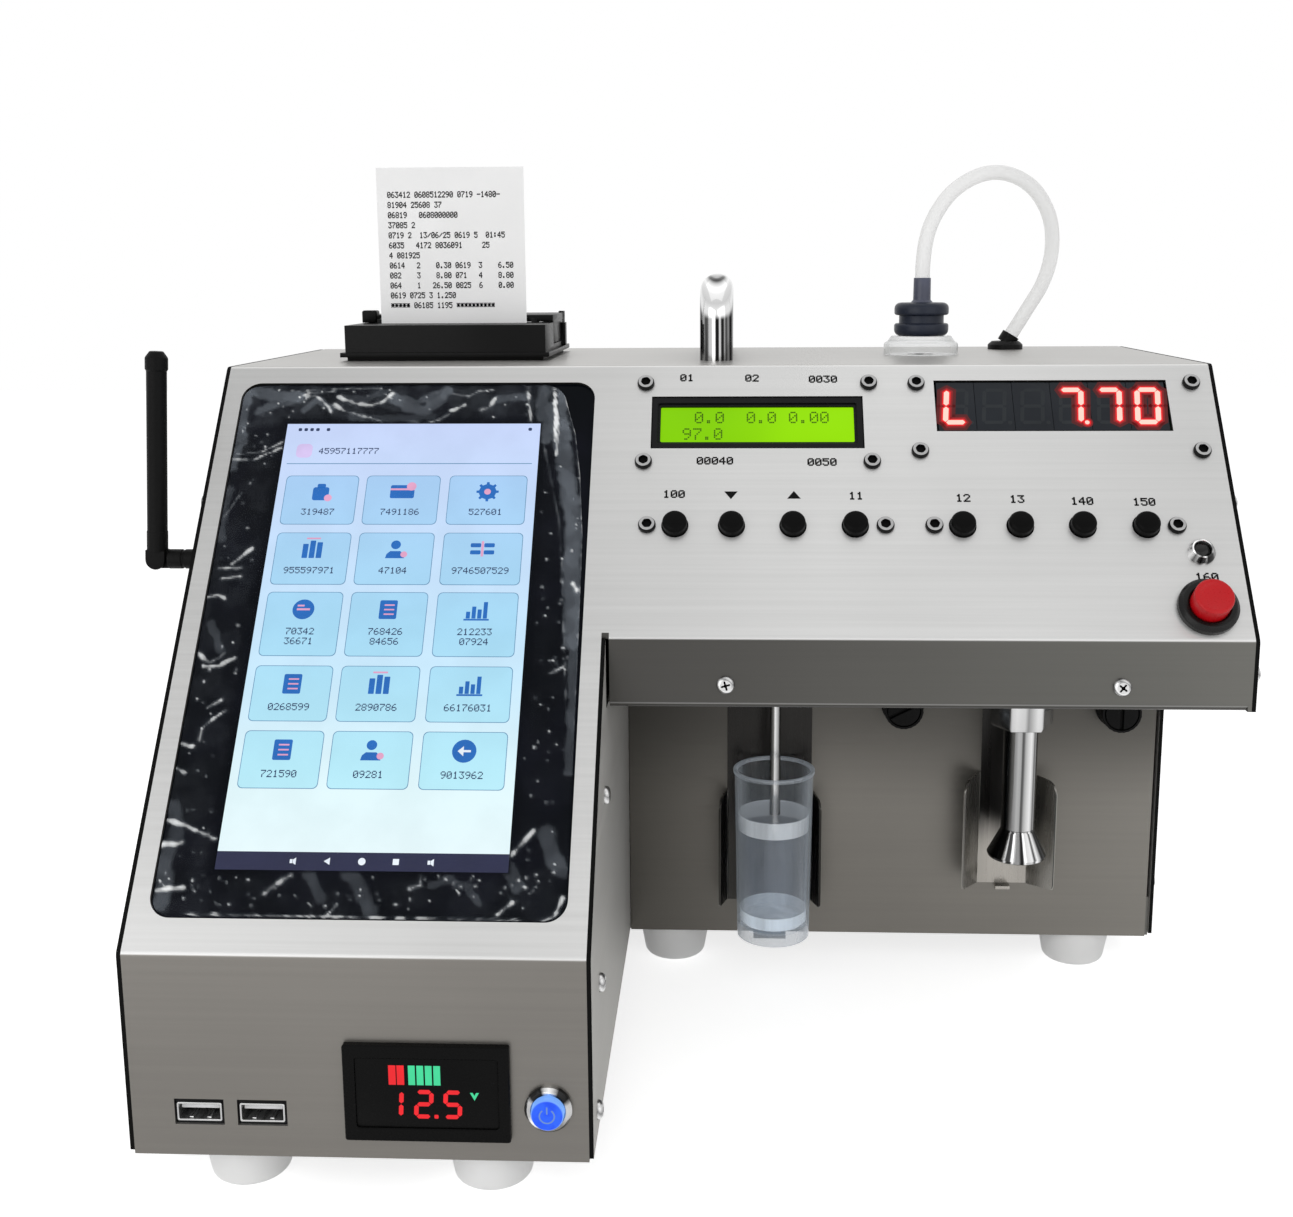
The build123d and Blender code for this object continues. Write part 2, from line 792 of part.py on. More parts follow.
# Tablet under its window in the slope
def make_tablet():
    spot = at(slope, tablet_middle, -tablet_down)
    glass_top = -sheet
    glass_back = glass_top - glass_thickness
    parts["tablet_glass"] = spot * block(glass_width, glass_height, glass_thickness, glass_back,
                                         glass_corner)
    screen = Pos(0, screen_rise, 0) * block(screen_width, screen_height, screen_thickness,
                                            glass_back - screen_thickness)
    pocket = Pos(0, screen_rise, 0) * block(screen_width, screen_height, screen_thickness + overrun,
                                            glass_back - screen_thickness)
    body = block(glass_width, glass_height, tablet_thickness, glass_back - tablet_thickness,
                 glass_corner)
    body = fillet(edges_at(body, glass_back - tablet_thickness), side_corner_radius / 2)
    parts["tablet_screen"] = spot * screen
    parts["tablet_body"] = spot * (body - pocket)
    film = Pos(film_shift, film_rise, 0) * block(film_width, film_height, film_thickness,
                                                 glass_top + film_gap, tablet_window_corner)
    parts["protective_film"] = spot * film


# Line display, digit display and their boards
def make_displays():
    spot = at(slope, lcd_middle, -lcd_down)
    bezel = block(lcd_bezel_width, lcd_bezel_height, lcd_bezel_depth, -board_drop)
    view = block(lcd_view_width, lcd_view_height, lcd_bezel_depth,
                 -sheet - lcd_glass_sink - lcd_glass_thickness)
    parts["lcd_bezel"] = spot * (bezel - view)
    parts["lcd_window"] = spot * block(lcd_view_width, lcd_view_height, lcd_glass_thickness,
                                       -sheet - lcd_glass_sink - lcd_glass_thickness)
    digits = []
    for index in range(digit_count):
        shift = (index - (digit_count - 1) / 2) * digit_width
        digits.append(at(slope, digit_middle + shift, -digit_down)
                      * block(digit_width - digit_gap, digit_height, digit_depth,
                              -digit_sink - digit_depth))
    parts["led_digits"] = joined(digits)


def make_boards():
    lcd_board = at(slope, lcd_middle, -lcd_down) * block(lcd_board_width, lcd_board_height,
                                                         board_thickness, -board_drop - board_thickness)
    digit_drop = digit_sink + digit_depth
    digit_board = at(slope, digit_board_middle, -digit_board_down) * block(
        digit_board_width, digit_board_height, board_thickness, -digit_drop - board_thickness)
    boards = [[lcd_board, lcd_screw_spots, board_drop], [digit_board, digit_screw_spots, digit_drop]]
    for number, middle in enumerate((left_keys_place, right_keys_place)):
        board = at(slope, middle, -keys_down) * block(key_board_width, key_board_height,
                                                      board_thickness, -key_board_drop - board_thickness)
        for shift in key_places:
            switch = block(key_switch_size, key_switch_size, key_switch_height, -key_board_drop)
            switch -= disc(key_stem_bore, key_switch_height, -key_board_drop + key_standoff)
            board += at(slope, middle + shift, -keys_down) * switch
        boards.append([board, key_screw_spots[2 * number:2 * number + 2], key_board_drop])
    finished = []
    for board, spots, drop in boards:
        for spot in spots:
            board += spot * disc(spacer_radius, drop - sheet, -drop)
            board -= spot * bore()
        finished.append(board)
    socket_board = box_between((socket_board_middle - socket_board_width / 2, 2 * sheet + seam_gap,
                                socket_height - socket_shell_height / 2 - board_thickness),
                               (socket_board_middle + socket_board_width / 2, socket_depth + sheet,
                                socket_height - socket_shell_height / 2))
    for side in (-1, 1):
        post_height = socket_height - socket_shell_height / 2 - board_thickness - sheet
        socket_board += Pos(socket_board_middle + side * socket_board_width / 3, socket_depth / 2,
                            sheet) * disc(spacer_radius, post_height)
    finished.append(socket_board)
    return joined(finished)


# Keys with domed caps, each held by a flange under the slope
def make_keys():
    cap = disc(key_radius, key_height + sheet + key_running_gap, -sheet - key_running_gap)
    cap = fillet(edges_at(cap, key_height), key_edge_radius)
    flange_bottom = -sheet - key_running_gap - key_flange_thickness
    cap += disc(key_flange_radius, key_flange_thickness, flange_bottom)
    stem_end = -key_board_drop + key_switch_height - key_stem_grip
    cap += disc(key_stem_radius, flange_bottom - stem_end, stem_end)
    number = 0
    for middle in (left_keys_place, right_keys_place):
        for shift in key_places:
            number += 1
            parts[f"key_{number}"] = at(slope, middle + shift, -keys_down) * cap


# Lamp, push button and power button with their nuts
def make_lamp():
    bezel = turned(((lamp_bore_radius, -lamp_depth), (lamp_barrel_radius, -lamp_depth),
                    (lamp_barrel_radius, 0), (lamp_flange_radius, 0), (lamp_rim_radius, lamp_height),
                    (lamp_bore_radius, lamp_height)))
    spot = at(slope, lamp_place, -lamp_down)
    parts["lamp_bezel"] = spot * bezel
    parts["lamp_lens"] = spot * disc(lamp_lens_radius, lamp_depth + lamp_lens_height, -lamp_depth)


def button_bezel(barrel, flange, height, chamfer_size, bore_radius, depth, floor):
    # a threaded barrel with a flange, bored for its cap and closed by a floor
    return turned(((0, -depth), (barrel, -depth), (barrel, 0), (flange, 0),
                   (flange, height - chamfer_size), (flange - chamfer_size, height),
                   (bore_radius, height), (bore_radius, -depth + floor), (0, -depth + floor)))


def button_cap(radius, height, root, edge):
    cap = disc(radius, height + root, -root)
    return fillet(edges_at(cap, height), edge)


def make_buttons():
    push_spot = at(slope, push_place, -push_down)
    parts["push_bezel"] = push_spot * button_bezel(
        push_barrel_radius, push_flange_radius, push_flange_height, push_flange_chamfer,
        push_bore_radius, push_depth, push_floor)
    parts["push_cap"] = push_spot * button_cap(push_cap_radius, push_cap_height, push_cap_root,
                                               push_cap_edge)
    power_spot = at(front, power_place, power_height)
    parts["power_bezel"] = power_spot * button_bezel(
        power_barrel_radius, power_flange_radius, power_flange_height, power_flange_chamfer,
        power_bore_radius, power_depth, power_floor)
    parts["power_cap"] = power_spot * button_cap(power_cap_radius, power_cap_height, power_cap_root,
                                                 power_cap_edge)


# Nuts behind the panels, and the antenna's threaded jack
def make_nuts():
    push_nut = hexagon(push_nut_radius, nut_thickness, -sheet - nut_thickness)
    push_nut -= disc(push_barrel_radius, bore_length, -bore_length / 2)
    lamp_nut = hexagon(lamp_nut_radius, nut_thickness, -sheet - nut_thickness)
    lamp_nut -= disc(lamp_barrel_radius, bore_length, -bore_length / 2)
    power_nut = hexagon(power_nut_radius, nut_thickness, -sheet - nut_thickness)
    power_nut -= disc(power_barrel_radius, bore_length, -bore_length / 2)
    nuts = [at(slope, push_place, -push_down) * push_nut,
            at(slope, lamp_place, -lamp_down) * lamp_nut,
            at(front, power_place, power_height) * power_nut]
    for place, level, turn in fuses:
        nut = hexagon(fuse_nut_radius, nut_thickness, -sheet - nut_thickness)
        nut -= disc(fuse_body_radius, bore_length, -bore_length / 2)
        nuts.append(at(recess, place, level) * nut)
    jack = hexagon(antenna_nut_radius, antenna_nut_thickness)
    jack += disc(antenna_jack_radius, antenna_jack_drop + antenna_nut_thickness, -antenna_jack_drop)
    nuts.append(at(left_side, -antenna_setback, antenna_level) * jack)
    return joined(nuts)


# Voltmeter
def make_meter():
    spot = at(front, meter_middle, meter_height)
    case = block(meter_bezel_width, meter_bezel_height, meter_bezel_thickness, 0, meter_bezel_corner)
    case += block(meter_body_width, meter_body_height, meter_body_depth, -meter_body_depth)
    sink = meter_bezel_thickness - meter_window_sink
    case -= block(meter_window_width, meter_window_height, overrun + meter_window_sink, sink)
    parts["voltmeter_case"] = spot * case
    window_thickness = meter_window_sink / 2
    parts["voltmeter_window"] = spot * block(meter_window_width, meter_window_height,
                                             window_thickness, sink)


# Sockets with a steel shell and a tongue
def make_sockets():
    shell = block(socket_width, socket_shell_height, socket_depth, -socket_depth)
    hollow = block(socket_width - 2 * socket_shell_wall, socket_shell_height - 2 * socket_shell_wall,
                   socket_depth, -socket_depth + 2 * socket_shell_wall)
    tongue = Pos(0, socket_tongue_rise, 0) * block(
        socket_tongue_width, socket_tongue_height, socket_tongue_depth + socket_shell_wall,
        -socket_depth + 2 * socket_shell_wall)
    socket = shell - hollow
    return joined([at(front, place, socket_height) * (socket + tongue) for place in socket_places])


# Printer with its door, roller, latch, roll and paper
def make_printer():
    seal = block(printer_flange_width - 2 * printer_seal_inset,
                 printer_flange_depth - 2 * printer_seal_inset, printer_seal_thickness)
    flange = block(printer_flange_width, printer_flange_depth, printer_flange_thickness,
                   printer_seal_thickness, latch_edge)
    middle = at(top, printer_middle, printer_front + printer_flange_depth / 2)
    frame = middle * (seal + flange)
    half = printer_box_width / 2
    frame += box_between((printer_middle - half, box_front, cover_height + printer_seal_thickness),
                         (printer_middle + half, box_rear, box_top))
    frame += box_between((printer_middle - printer_bucket_width / 2, bucket_front,
                          cover_height - printer_bucket_drop),
                         (printer_middle + printer_bucket_width / 2,
                          bucket_front + printer_bucket_length, cover_height + printer_seal_thickness))
    frame -= box_between((printer_middle - half - overrun, box_rear - printer_rear_length,
                          box_top - printer_rear_drop),
                         (printer_middle + half + overrun, box_rear + overrun, box_top + overrun))
    inner_half = printer_bucket_width / 2 - printer_wall
    frame -= box_between((printer_middle - inner_half, slot_face, bucket_floor),
                         (printer_middle + inner_half,
                          bucket_front + printer_bucket_length - printer_wall, box_top + overrun))
    skirt_low = box_top + door_gap - door_skirt_drop - door_gap
    for side, start in ((-1, left_skirt_start), (1, right_skirt_start)):
        face = printer_middle + side * half
        depth = side * (door_skirt_thickness + door_gap + seam_gap)
        near, far = sorted((face + side * overrun, face - depth))
        frame -= box_between((near, start - door_swing_room, skirt_low),
                             (far, skirt_end + door_gap, box_top + overrun))
    clip_face = printer_middle + half
    frame += box_between((clip_face - seam_gap, printer_front + clip_setback,
                          box_top - clip_drop - clip_height),
                         (clip_face + clip_thickness, printer_front + clip_setback + clip_length,
                          box_top - clip_drop))
    pocket_depth = latch_pivot_drop + latch_stem_radius + latch_pocket_gap
    frame -= Pos(latch_x, latch_pivot, box_top) * Box(
        latch_stem_width + 2 * latch_pocket_gap, 2 * (latch_stem_radius + latch_swing_room),
        2 * pocket_depth)
    frame -= Pos(latch_x, latch_pivot, box_top - latch_pivot_drop) * Rot(0, 90, 0) * Cylinder(
        latch_pin_bore, latch_stem_width + 2 * (latch_pin_grip + latch_pocket_gap))
    for side in (-1, 1):
        ear_middle = printer_middle + side * (half - door_ear_width / 2)
        ear = Pos(ear_middle, axle_setback, box_top - printer_rear_drop) * Box(
            door_ear_width, door_ear_length, door_ear_rise, align=(Align.CENTER, Align.CENTER, Align.MIN))
        frame += ear
    frame -= Pos(printer_middle, axle_setback, axle_level) * Rot(0, 90, 0) * Cylinder(
        door_pin_bore, printer_box_width - door_ear_width + 2 * door_pin_grip)
    return frame


def make_printer_door():
    half = printer_box_width / 2 - seam_gap
    low = box_top + door_gap
    ear_room = door_ear_width + door_gap
    door = box_between((printer_middle - half, printer_front + door_setback, low),
                       (printer_middle + half, axle_setback - door_ear_length / 2 - door_ear_gap,
                        low + door_thickness))
    door += box_between((printer_middle - half + ear_room, axle_setback - door_ear_length, low),
                        (printer_middle + half - ear_room, axle_setback + door_overhang,
                         low + door_thickness))
    door -= box_between((printer_middle - half - overrun, printer_front, low - overrun),
                        (printer_middle - half + door_notch_width,
                         printer_front + door_setback + door_notch_length, low + 2 * overrun))
    for side, start in ((-1, left_skirt_start), (1, right_skirt_start)):
        near, far = sorted((printer_middle + side * half,
                            printer_middle + side * (half - door_skirt_thickness)))
        door += box_between((near, start, low - door_skirt_drop), (far, skirt_end, low + door_thickness))
    cheek_start = roller_length / 2 + roller_cheek_gap
    for side in (-1, 1):
        cheek_middle = printer_middle + side * (cheek_start + roller_cheek / 2)
        cheek = Pos(cheek_middle, roller_y, roller_z) * Rot(0, 90, 0) * Cylinder(
            roller_radius - door_gap, roller_cheek)
        cheek += Pos(cheek_middle, roller_y, roller_z) * Box(
            roller_cheek, 2 * (roller_radius - door_gap), low + door_thickness / 2 - roller_z,
            align=(Align.CENTER, Align.CENTER, Align.MIN))
        door += cheek
    door -= Pos(printer_middle, roller_y, roller_z) * Rot(0, 90, 0) * Cylinder(
        roller_shaft_bore, 2 * (cheek_start + roller_cheek + overrun))
    pins = Pos(printer_middle, axle_setback, axle_level) * Rot(0, 90, 0) * Cylinder(
        door_pin_radius, printer_box_width - 2 * door_ear_width + 2 * door_pin_grip)
    return door + pins


def make_printer_inside():
    roller = Cylinder(roller_radius, roller_length)
    shaft_length = roller_length + 2 * (roller_cheek_gap + roller_cheek)
    roller += Cylinder(roller_shaft_radius, shaft_length)
    parts["platen_roller"] = Pos(printer_middle, roller_y, roller_z) * Rot(0, 90, 0) * roller
    latch = block(latch_width, latch_length, latch_height, 0, latch_edge)
    latch = fillet(edges_at(latch, latch_height), latch_edge)
    stem = Rot(0, 90, 0) * (Cylinder(latch_stem_radius, latch_stem_width)
                            + Cylinder(latch_pin_radius, latch_stem_width
                                       + 2 * (latch_pin_grip + latch_pocket_gap / 2)))
    stem += Box(latch_stem_width, 2 * latch_stem_radius, latch_pivot_drop + 2 * latch_edge,
                align=(Align.CENTER, Align.CENTER, Align.MIN))
    parts["printer_latch"] = (Pos(latch_x, latch_y, box_top + seam_gap) * latch
                              + Pos(latch_x, latch_pivot, box_top - latch_pivot_drop) * stem)
    roll = Cylinder(roll_radius, paper_width) - Cylinder(roll_core_radius, paper_width + overrun)
    parts["paper_roll"] = Pos(printer_middle, roll_y, roll_z) * Rot(0, 90, 0) * roll
    parts["paper_strip"] = box_between((printer_middle - paper_width / 2, slot_face + paper_gap, roll_z),
                                       (printer_middle + paper_width / 2,
                                        slot_face + paper_gap + paper_thickness, box_top + paper_rise))


# Carrying handle, a bent round bar that stands on the top
def make_handle():
    bar_top = handle_rise - handle_radius
    points = ((0, 0, 0), (0, 0, bar_top), (0, handle_span, bar_top), (0, handle_span, 0))
    path = FilletPolyline(*points, radius=handle_bend)
    bar = sweep(Plane(path @ 0, z_dir=path % 0) * Circle(handle_radius), path=path)
    return at(top, handle_place, handle_front) * bar


# Inlet with its stopper and nozzle, the grommet and the hose between them
def make_inlet():
    spot = at(top, inlet_place, inlet_setback)
    parts["inlet_base"] = spot * turned((
        (0, -inlet_neck_drop), (inlet_neck_radius, -inlet_neck_drop), (inlet_neck_radius, 0),
        (inlet_radius, 0), (inlet_radius, inlet_step_height), (inlet_step_radius, inlet_height),
        (0, inlet_height)))
    ring = disc(stopper_radius, stopper_ring_height)
    ring = fillet(ring.edges().filter_by(GeomType.CIRCLE), stopper_round)
    upper = stopper_ring_height + stopper_neck_height
    neck_start = stopper_ring_height / 2
    stopper = ring + Pos(0, 0, upper) * ring
    stopper += disc(stopper_neck_radius, upper, neck_start)
    stopper += disc(nozzle_radius, stopper_ring_height / 2 + nozzle_height, upper + neck_start)
    parts["inlet_stopper"] = Pos(inlet_place, inlet_setback, cover_height + inlet_height) * stopper
    grommet = disc(grommet_radius, grommet_height)
    grommet = fillet(edges_at(grommet, grommet_height), grommet_round)
    grommet += disc(grommet_neck_radius, sheet + grommet_drop, -sheet - grommet_drop)
    mouth_plane = Plane(origin=hose_spots[-1], z_dir=hose_spots[-2] - hose_spots[-1])
    mouth = mouth_plane * disc(grommet_mouth_radius, grommet_mouth_length, -grommet_mouth_length)
    parts["hose_grommet"] = at(top, grommet_place, grommet_setback) * grommet + mouth


def make_hose():
    # the route of the free hose, from the nozzle over to the grommet
    runs = [b - a for a, b in zip(hose_spots, hose_spots[1:])]
    radii = []
    for before, after in zip(runs, runs[1:]):
        half_turn = radians(before.get_angle(after)) / 2
        radii.append(hose_bend_share * min(before.length, after.length) / tan(half_turn))
    path = FilletPolyline(*hose_spots, radius=radii)
    hose = sweep(Plane(path @ 0, z_dir=path % 0) * Circle(hose_radius), path=path)
    print("hose radii", [round(radius, 1) for radius in radii], "length", round(path.length, 1))
    print("hose volume", round(hose.volume), "section times length",
          round(pi * hose_radius ** 2 * path.length))
    return hose


# Sampling pipe, stirrer, cup and the two holders
def make_sampling():
    pipe_spot = Pos(pipe_place, pipe_setback, soffit_level)
    pipe = disc(pipe_radius, pipe_reach + sheet + pipe_tail, -pipe_reach)
    pipe += disc(pipe_collar_radius, pipe_collar_height, -pipe_collar_height)
    pipe -= disc(pipe_radius / 2, pipe_reach + sheet + pipe_tail + 2 * overrun, -pipe_reach - overrun)
    parts["sample_pipe"] = pipe_spot * pipe
    cup_inner_base = cup_base_radius - cup_wall
    cup_inner_rim = cup_rim_radius - cup_rim_thickness - cup_wall
    cup = turned(((0, cup_skirt), (cup_inner_base, cup_skirt), (cup_inner_base, 0), (cup_base_radius, 0),
                  (cup_rim_radius - cup_rim_thickness, cup_height - cup_rim_height),
                  (cup_rim_radius, cup_height - cup_rim_height), (cup_rim_radius, cup_height),
                  (cup_inner_rim, cup_height), (cup_inner_base, cup_skirt + cup_floor),
                  (0, cup_skirt + cup_floor)))
    parts["sample_cup"] = Pos(cup_place, cup_setback, cup_floor_level) * cup


def make_stirrer():
    horn = hexagon(stirrer_hex_radius, stirrer_hex_length, -stirrer_hex_length)
    chamfer_cone = turned(((0, 0), (2 * stirrer_hex_radius, 0),
                           (2 * stirrer_hex_radius, -stirrer_hex_length + stirrer_hex_radius),
                           (stirrer_hex_radius - stirrer_hex_chamfer, -stirrer_hex_length),
                           (0, -stirrer_hex_length)))
    horn = horn & chamfer_cone
    rod_end = -stirrer_hex_length - stirrer_rod_length
    cone_end = rod_end - stirrer_cone_length
    horn += turned(((0, -stirrer_hex_length), (stirrer_rod_radius, -stirrer_hex_length),
                    (stirrer_rod_radius, rod_end), (stirrer_cone_radius, cone_end),
                    (stirrer_tip_radius, cone_end - stirrer_tip_length),
                    (0, cone_end - stirrer_tip_length)))
    horn += disc(stirrer_rod_radius, sheet)
    horn += disc(stirrer_stack_radius, stirrer_stack_length, sheet)
    return Pos(stirrer_place, stirrer_setback, soffit_level) * horn


def holder(width, flare, foot, depth=holder_depth):
    # a channel folded from sheet, whose back runs up to the soffit
    wing_path = ((-width / 2 - flare, -depth), (-width / 2, 0), (width / 2, 0), (width / 2 + flare, -depth))
    channel = extrude(folded_face(wing_path, holder_sheet, holder_sheet), holder_wing_height)
    outer = [edge for edge in channel.edges()
             if edge.center().Y < -depth + holder_sheet and edge.length < 2 * holder_sheet]
    channel = fillet(outer, holder_corner)
    wedge = make_face(Polyline((overrun - depth, -overrun), (overrun, -overrun), (-2 * holder_sheet, 0),
                               (-depth, holder_wing_rise), (-depth - overrun, holder_wing_rise),
                               (-depth - overrun, -overrun), close=True))
    span = width + 2 * flare + 2 * overrun
    section = Plane(origin=(-span / 2, 0, 0), x_dir=(0, 1, 0), z_dir=(1, 0, 0))
    channel -= extrude(section * wedge, span)
    back_top = soffit_level - fold_radius - seam_gap - foot
    back = box_between((-width / 2 + holder_sheet, -holder_sheet, 0),
                       (width / 2 - holder_sheet, 0, back_top))
    return channel + back


def make_holders():
    cup_channel = holder(cup_holder_width, cup_holder_flare, cup_holder_foot)
    shelf_top = cup_floor_level - cup_shelf_gap - cup_holder_foot
    half = cup_shelf_width / 2
    cup_channel += box_between((-half, -holder_sheet, shelf_top - cup_shelf_thickness),
                               (half, 0, holder_wing_rise))
    cup_channel += box_between((-half, -cup_shelf_depth, shelf_top - cup_shelf_thickness),
                               (half, 0, shelf_top))
    parts["cup_holder"] = Pos(cup_holder_middle, recess_setback, cup_holder_foot) * cup_channel
    channel = holder(stirrer_holder_width, stirrer_holder_flare, stirrer_holder_foot)
    half = stirrer_tab_width / 2
    channel += box_between((-half, -holder_sheet, -cup_shelf_thickness), (half, 0, holder_wing_rise))
    channel += box_between((-half, -stirrer_tab_depth, -cup_shelf_thickness), (half, 0, 0))
    parts["stirrer_holder"] = Pos(stirrer_holder_middle, recess_setback, stirrer_holder_foot) * channel


# Fuse holders in the recess panel and their slotted caps
def make_fuses():
    holders = []
    for number, (place, level, turn) in enumerate(fuses, 1):
        body = disc(fuse_flange_radius, fuse_flange_thickness)
        body += disc(fuse_body_radius, fuse_body_length, -fuse_body_length)
        plug_room = fuse_plug_length + fuse_running_gap
        body -= disc(fuse_bore_radius, plug_room + overrun, fuse_flange_thickness - plug_room)
        holders.append(at(recess, place, level) * body)
        cap_base = fuse_flange_thickness + fuse_running_gap
        cap_top = fuse_flange_thickness + fuse_cap_height
        cap = disc(fuse_cap_radius, cap_top - cap_base, cap_base)
        cap = fillet(edges_at(cap, cap_top), fuse_cap_edge)
        cap += disc(fuse_plug_radius, fuse_plug_length, cap_base - fuse_plug_length)
        cap -= Rot(0, 0, turn) * block(2 * fuse_cap_radius + overrun, fuse_slot_width,
                                       overrun + fuse_slot_depth, cap_top - fuse_slot_depth)
        parts[f"fuse_cap_{number}"] = at(recess, place, level) * cap
    parts["fuse_holders"] = joined(holders)


# Antenna with a turning elbow and a folding whip
def make_antenna():
    elbow_start = antenna_nut_thickness + antenna_gap
    hinge = antenna_reach - side_plate
    fork_radius = antenna_collar_radius
    elbow_length = hinge - fork_radius - 2 * antenna_fork_gap - elbow_start
    elbow = disc(antenna_elbow_radius, elbow_length, elbow_start)
    tongue = Pos(0, 0, elbow_start) * Box(antenna_elbow_radius, antenna_tongue, hinge - elbow_start,
                                          align=(Align.CENTER, Align.CENTER, Align.MIN))
    tongue += Pos(0, 0, hinge) * Rot(90, 0, 0) * Cylinder(antenna_elbow_radius - antenna_fork_gap,
                                                         antenna_tongue)
    pin = Pos(0, 0, hinge) * Rot(90, 0, 0) * Cylinder(antenna_pin_radius, 2 * antenna_pin_reach)
    elbow = Rot(0, 0, 90) * (elbow + tongue + pin)
    parts["antenna_elbow"] = at(left_side, -antenna_setback, antenna_level) * elbow
    whip = disc(antenna_radius, antenna_length)
    whip += disc(antenna_collar_radius, antenna_collar_height)
    knob = disc(antenna_knob_radius, antenna_knob_height, antenna_length - antenna_knob_height)
    whip += fillet(edges_at(knob, antenna_length), antenna_knob_round)
    whip += Rot(90, 0, 0) * Cylinder(fork_radius, 2 * fork_radius) & Sphere(fork_radius)
    slot = Box(4 * fork_radius, antenna_tongue + 2 * antenna_fork_gap, 2 * fork_radius + overrun)
    whip -= Pos(0, 0, -overrun / 2) * slot
    whip -= Rot(90, 0, 0) * Cylinder(antenna_pin_bore, 4 * fork_radius)
    hinge_spot = Pos(-antenna_reach, antenna_setback, antenna_level)
    parts["antenna_whip"] = hinge_spot * Rot(0, antenna_lean, 0) * whip


# Main board with its power jack, pump and battery
def make_inside():
    board = box_between((main_board_place, board_front, board_level),
                        (main_board_place + main_board_width, board_front + main_board_length,
                         board_level + board_thickness))
    surface = board_level + board_thickness
    jack_face = cover_depth - sheet - jack_recess
    jack = box_between((jack_x - jack_width / 2, jack_face - jack_length, surface),
                       (jack_x + jack_width / 2, jack_face, surface + jack_height))
    jack -= Pos(jack_x, cover_depth, jack_z) * Rot(90, 0, 0) * disc(
        jack_bore_radius, jack_bore_depth + sheet + jack_recess)
    board += jack
    for row, share in enumerate(chip_shares):
        board += Pos(main_board_place + share * main_board_width,
                     board_front + main_board_length / 2, surface) * block(chip_size, chip_size, chip_height)
        board += Pos(main_board_place + share * main_board_width,
                     board_front + chip_size / 2, surface) * disc(capacitor_radius, capacitor_height)
    parts["main_board"] = board
    pump_floor = soffit_level + sheet
    pump = Pos(pump_place, pump_front + pump_base_length / 2, pump_floor) * block(
        pump_base_width, pump_base_length, pump_base_thickness)
    axis_level = pump_floor + pump_base_thickness / 2 + pump_head_radius
    pump += Pos(pump_place, pump_front + pump_head_length / 2, axis_level) * Rot(90, 0, 0) * Cylinder(
        pump_head_radius, pump_head_length)
    pump += Pos(pump_place, pump_front + pump_head_length, axis_level) * Rot(-90, 0, 0) * disc(
        pump_motor_radius, pump_motor_length)
    cradle_height = axis_level - pump_floor
    pump += box_between((pump_place - pump_motor_radius / 2, pump_front + pump_head_length, pump_floor),
                        (pump_place + pump_motor_radius / 2, pump_front + pump_base_length - pump_head_gap,
                         pump_floor + cradle_height))
    parts["pump"] = pump
    battery = Pos(battery_place + battery_width / 2, battery_front + battery_length / 2, sheet) * block(
        battery_width, battery_length, battery_height, 0, battery_corner)
    for side in (-1, 1):
        battery += Pos(battery_place + battery_width / 2 + side * battery_width / 3,
                       battery_front + battery_corner * 2, sheet + battery_height) * disc(
            battery_terminal_radius, battery_terminal_height)
    parts["battery_pack"] = battery


# Places that several pieces share
printer_bucket_length = printer_box_depth - printer_bucket_inset
bucket_front = printer_front + printer_bucket_inset
bucket_floor = cover_height - printer_bucket_drop + printer_wall
box_front = printer_front + printer_box_setback
box_rear = box_front + printer_box_depth
box_top = cover_height + printer_box_height
slot_face = printer_front + printer_slot_setback
axle_setback = box_rear - door_axle_inset
axle_level = box_top + door_gap + door_axle_rise
roller_y = printer_front + roller_setback
roller_z = axle_level - roller_drop
latch_x = printer_middle - printer_box_width / 2 + latch_width / 2 + seam_gap
latch_y = printer_front + door_setback + latch_length / 2
latch_pivot = latch_y + latch_length / 2 - seam_gap
right_skirt_start = printer_front + door_setback + door_swing_room
left_skirt_start = right_skirt_start + door_notch_length
skirt_end = axle_setback - door_ear_length - door_gap
roll_y = slot_face + paper_gap + paper_thickness + roll_gap + roll_radius
roll_z = bucket_floor + roll_lift + roll_radius
nozzle_top = (cover_height + inlet_height + 2 * stopper_ring_height + stopper_neck_height
              + nozzle_height)
hose_spots = [Vector(inlet_place, inlet_setback, nozzle_top)]
hose_spots += [Vector(inlet_place, inlet_setback, cover_height) + Vector(*turn) for turn in hose_turns]
key_board_drop = (sheet + key_running_gap + key_flange_thickness + key_travel + key_running_gap
                  + key_switch_height)
board_front = cover_depth - sheet - main_board_rear_gap - main_board_length
board_level = sheet + board_standoff
jack_x = main_board_place + jack_shift
jack_z = board_level + board_thickness + jack_height / 2
chip_shares = (0.22, 0.5, 0.72)
post_shares = ((0.06, 0.1), (0.94, 0.1), (0.06, 0.9), (0.94, 0.9))
main_board_posts = [(main_board_place + across * main_board_width, board_front + along * main_board_length)
                    for across, along in post_shares]

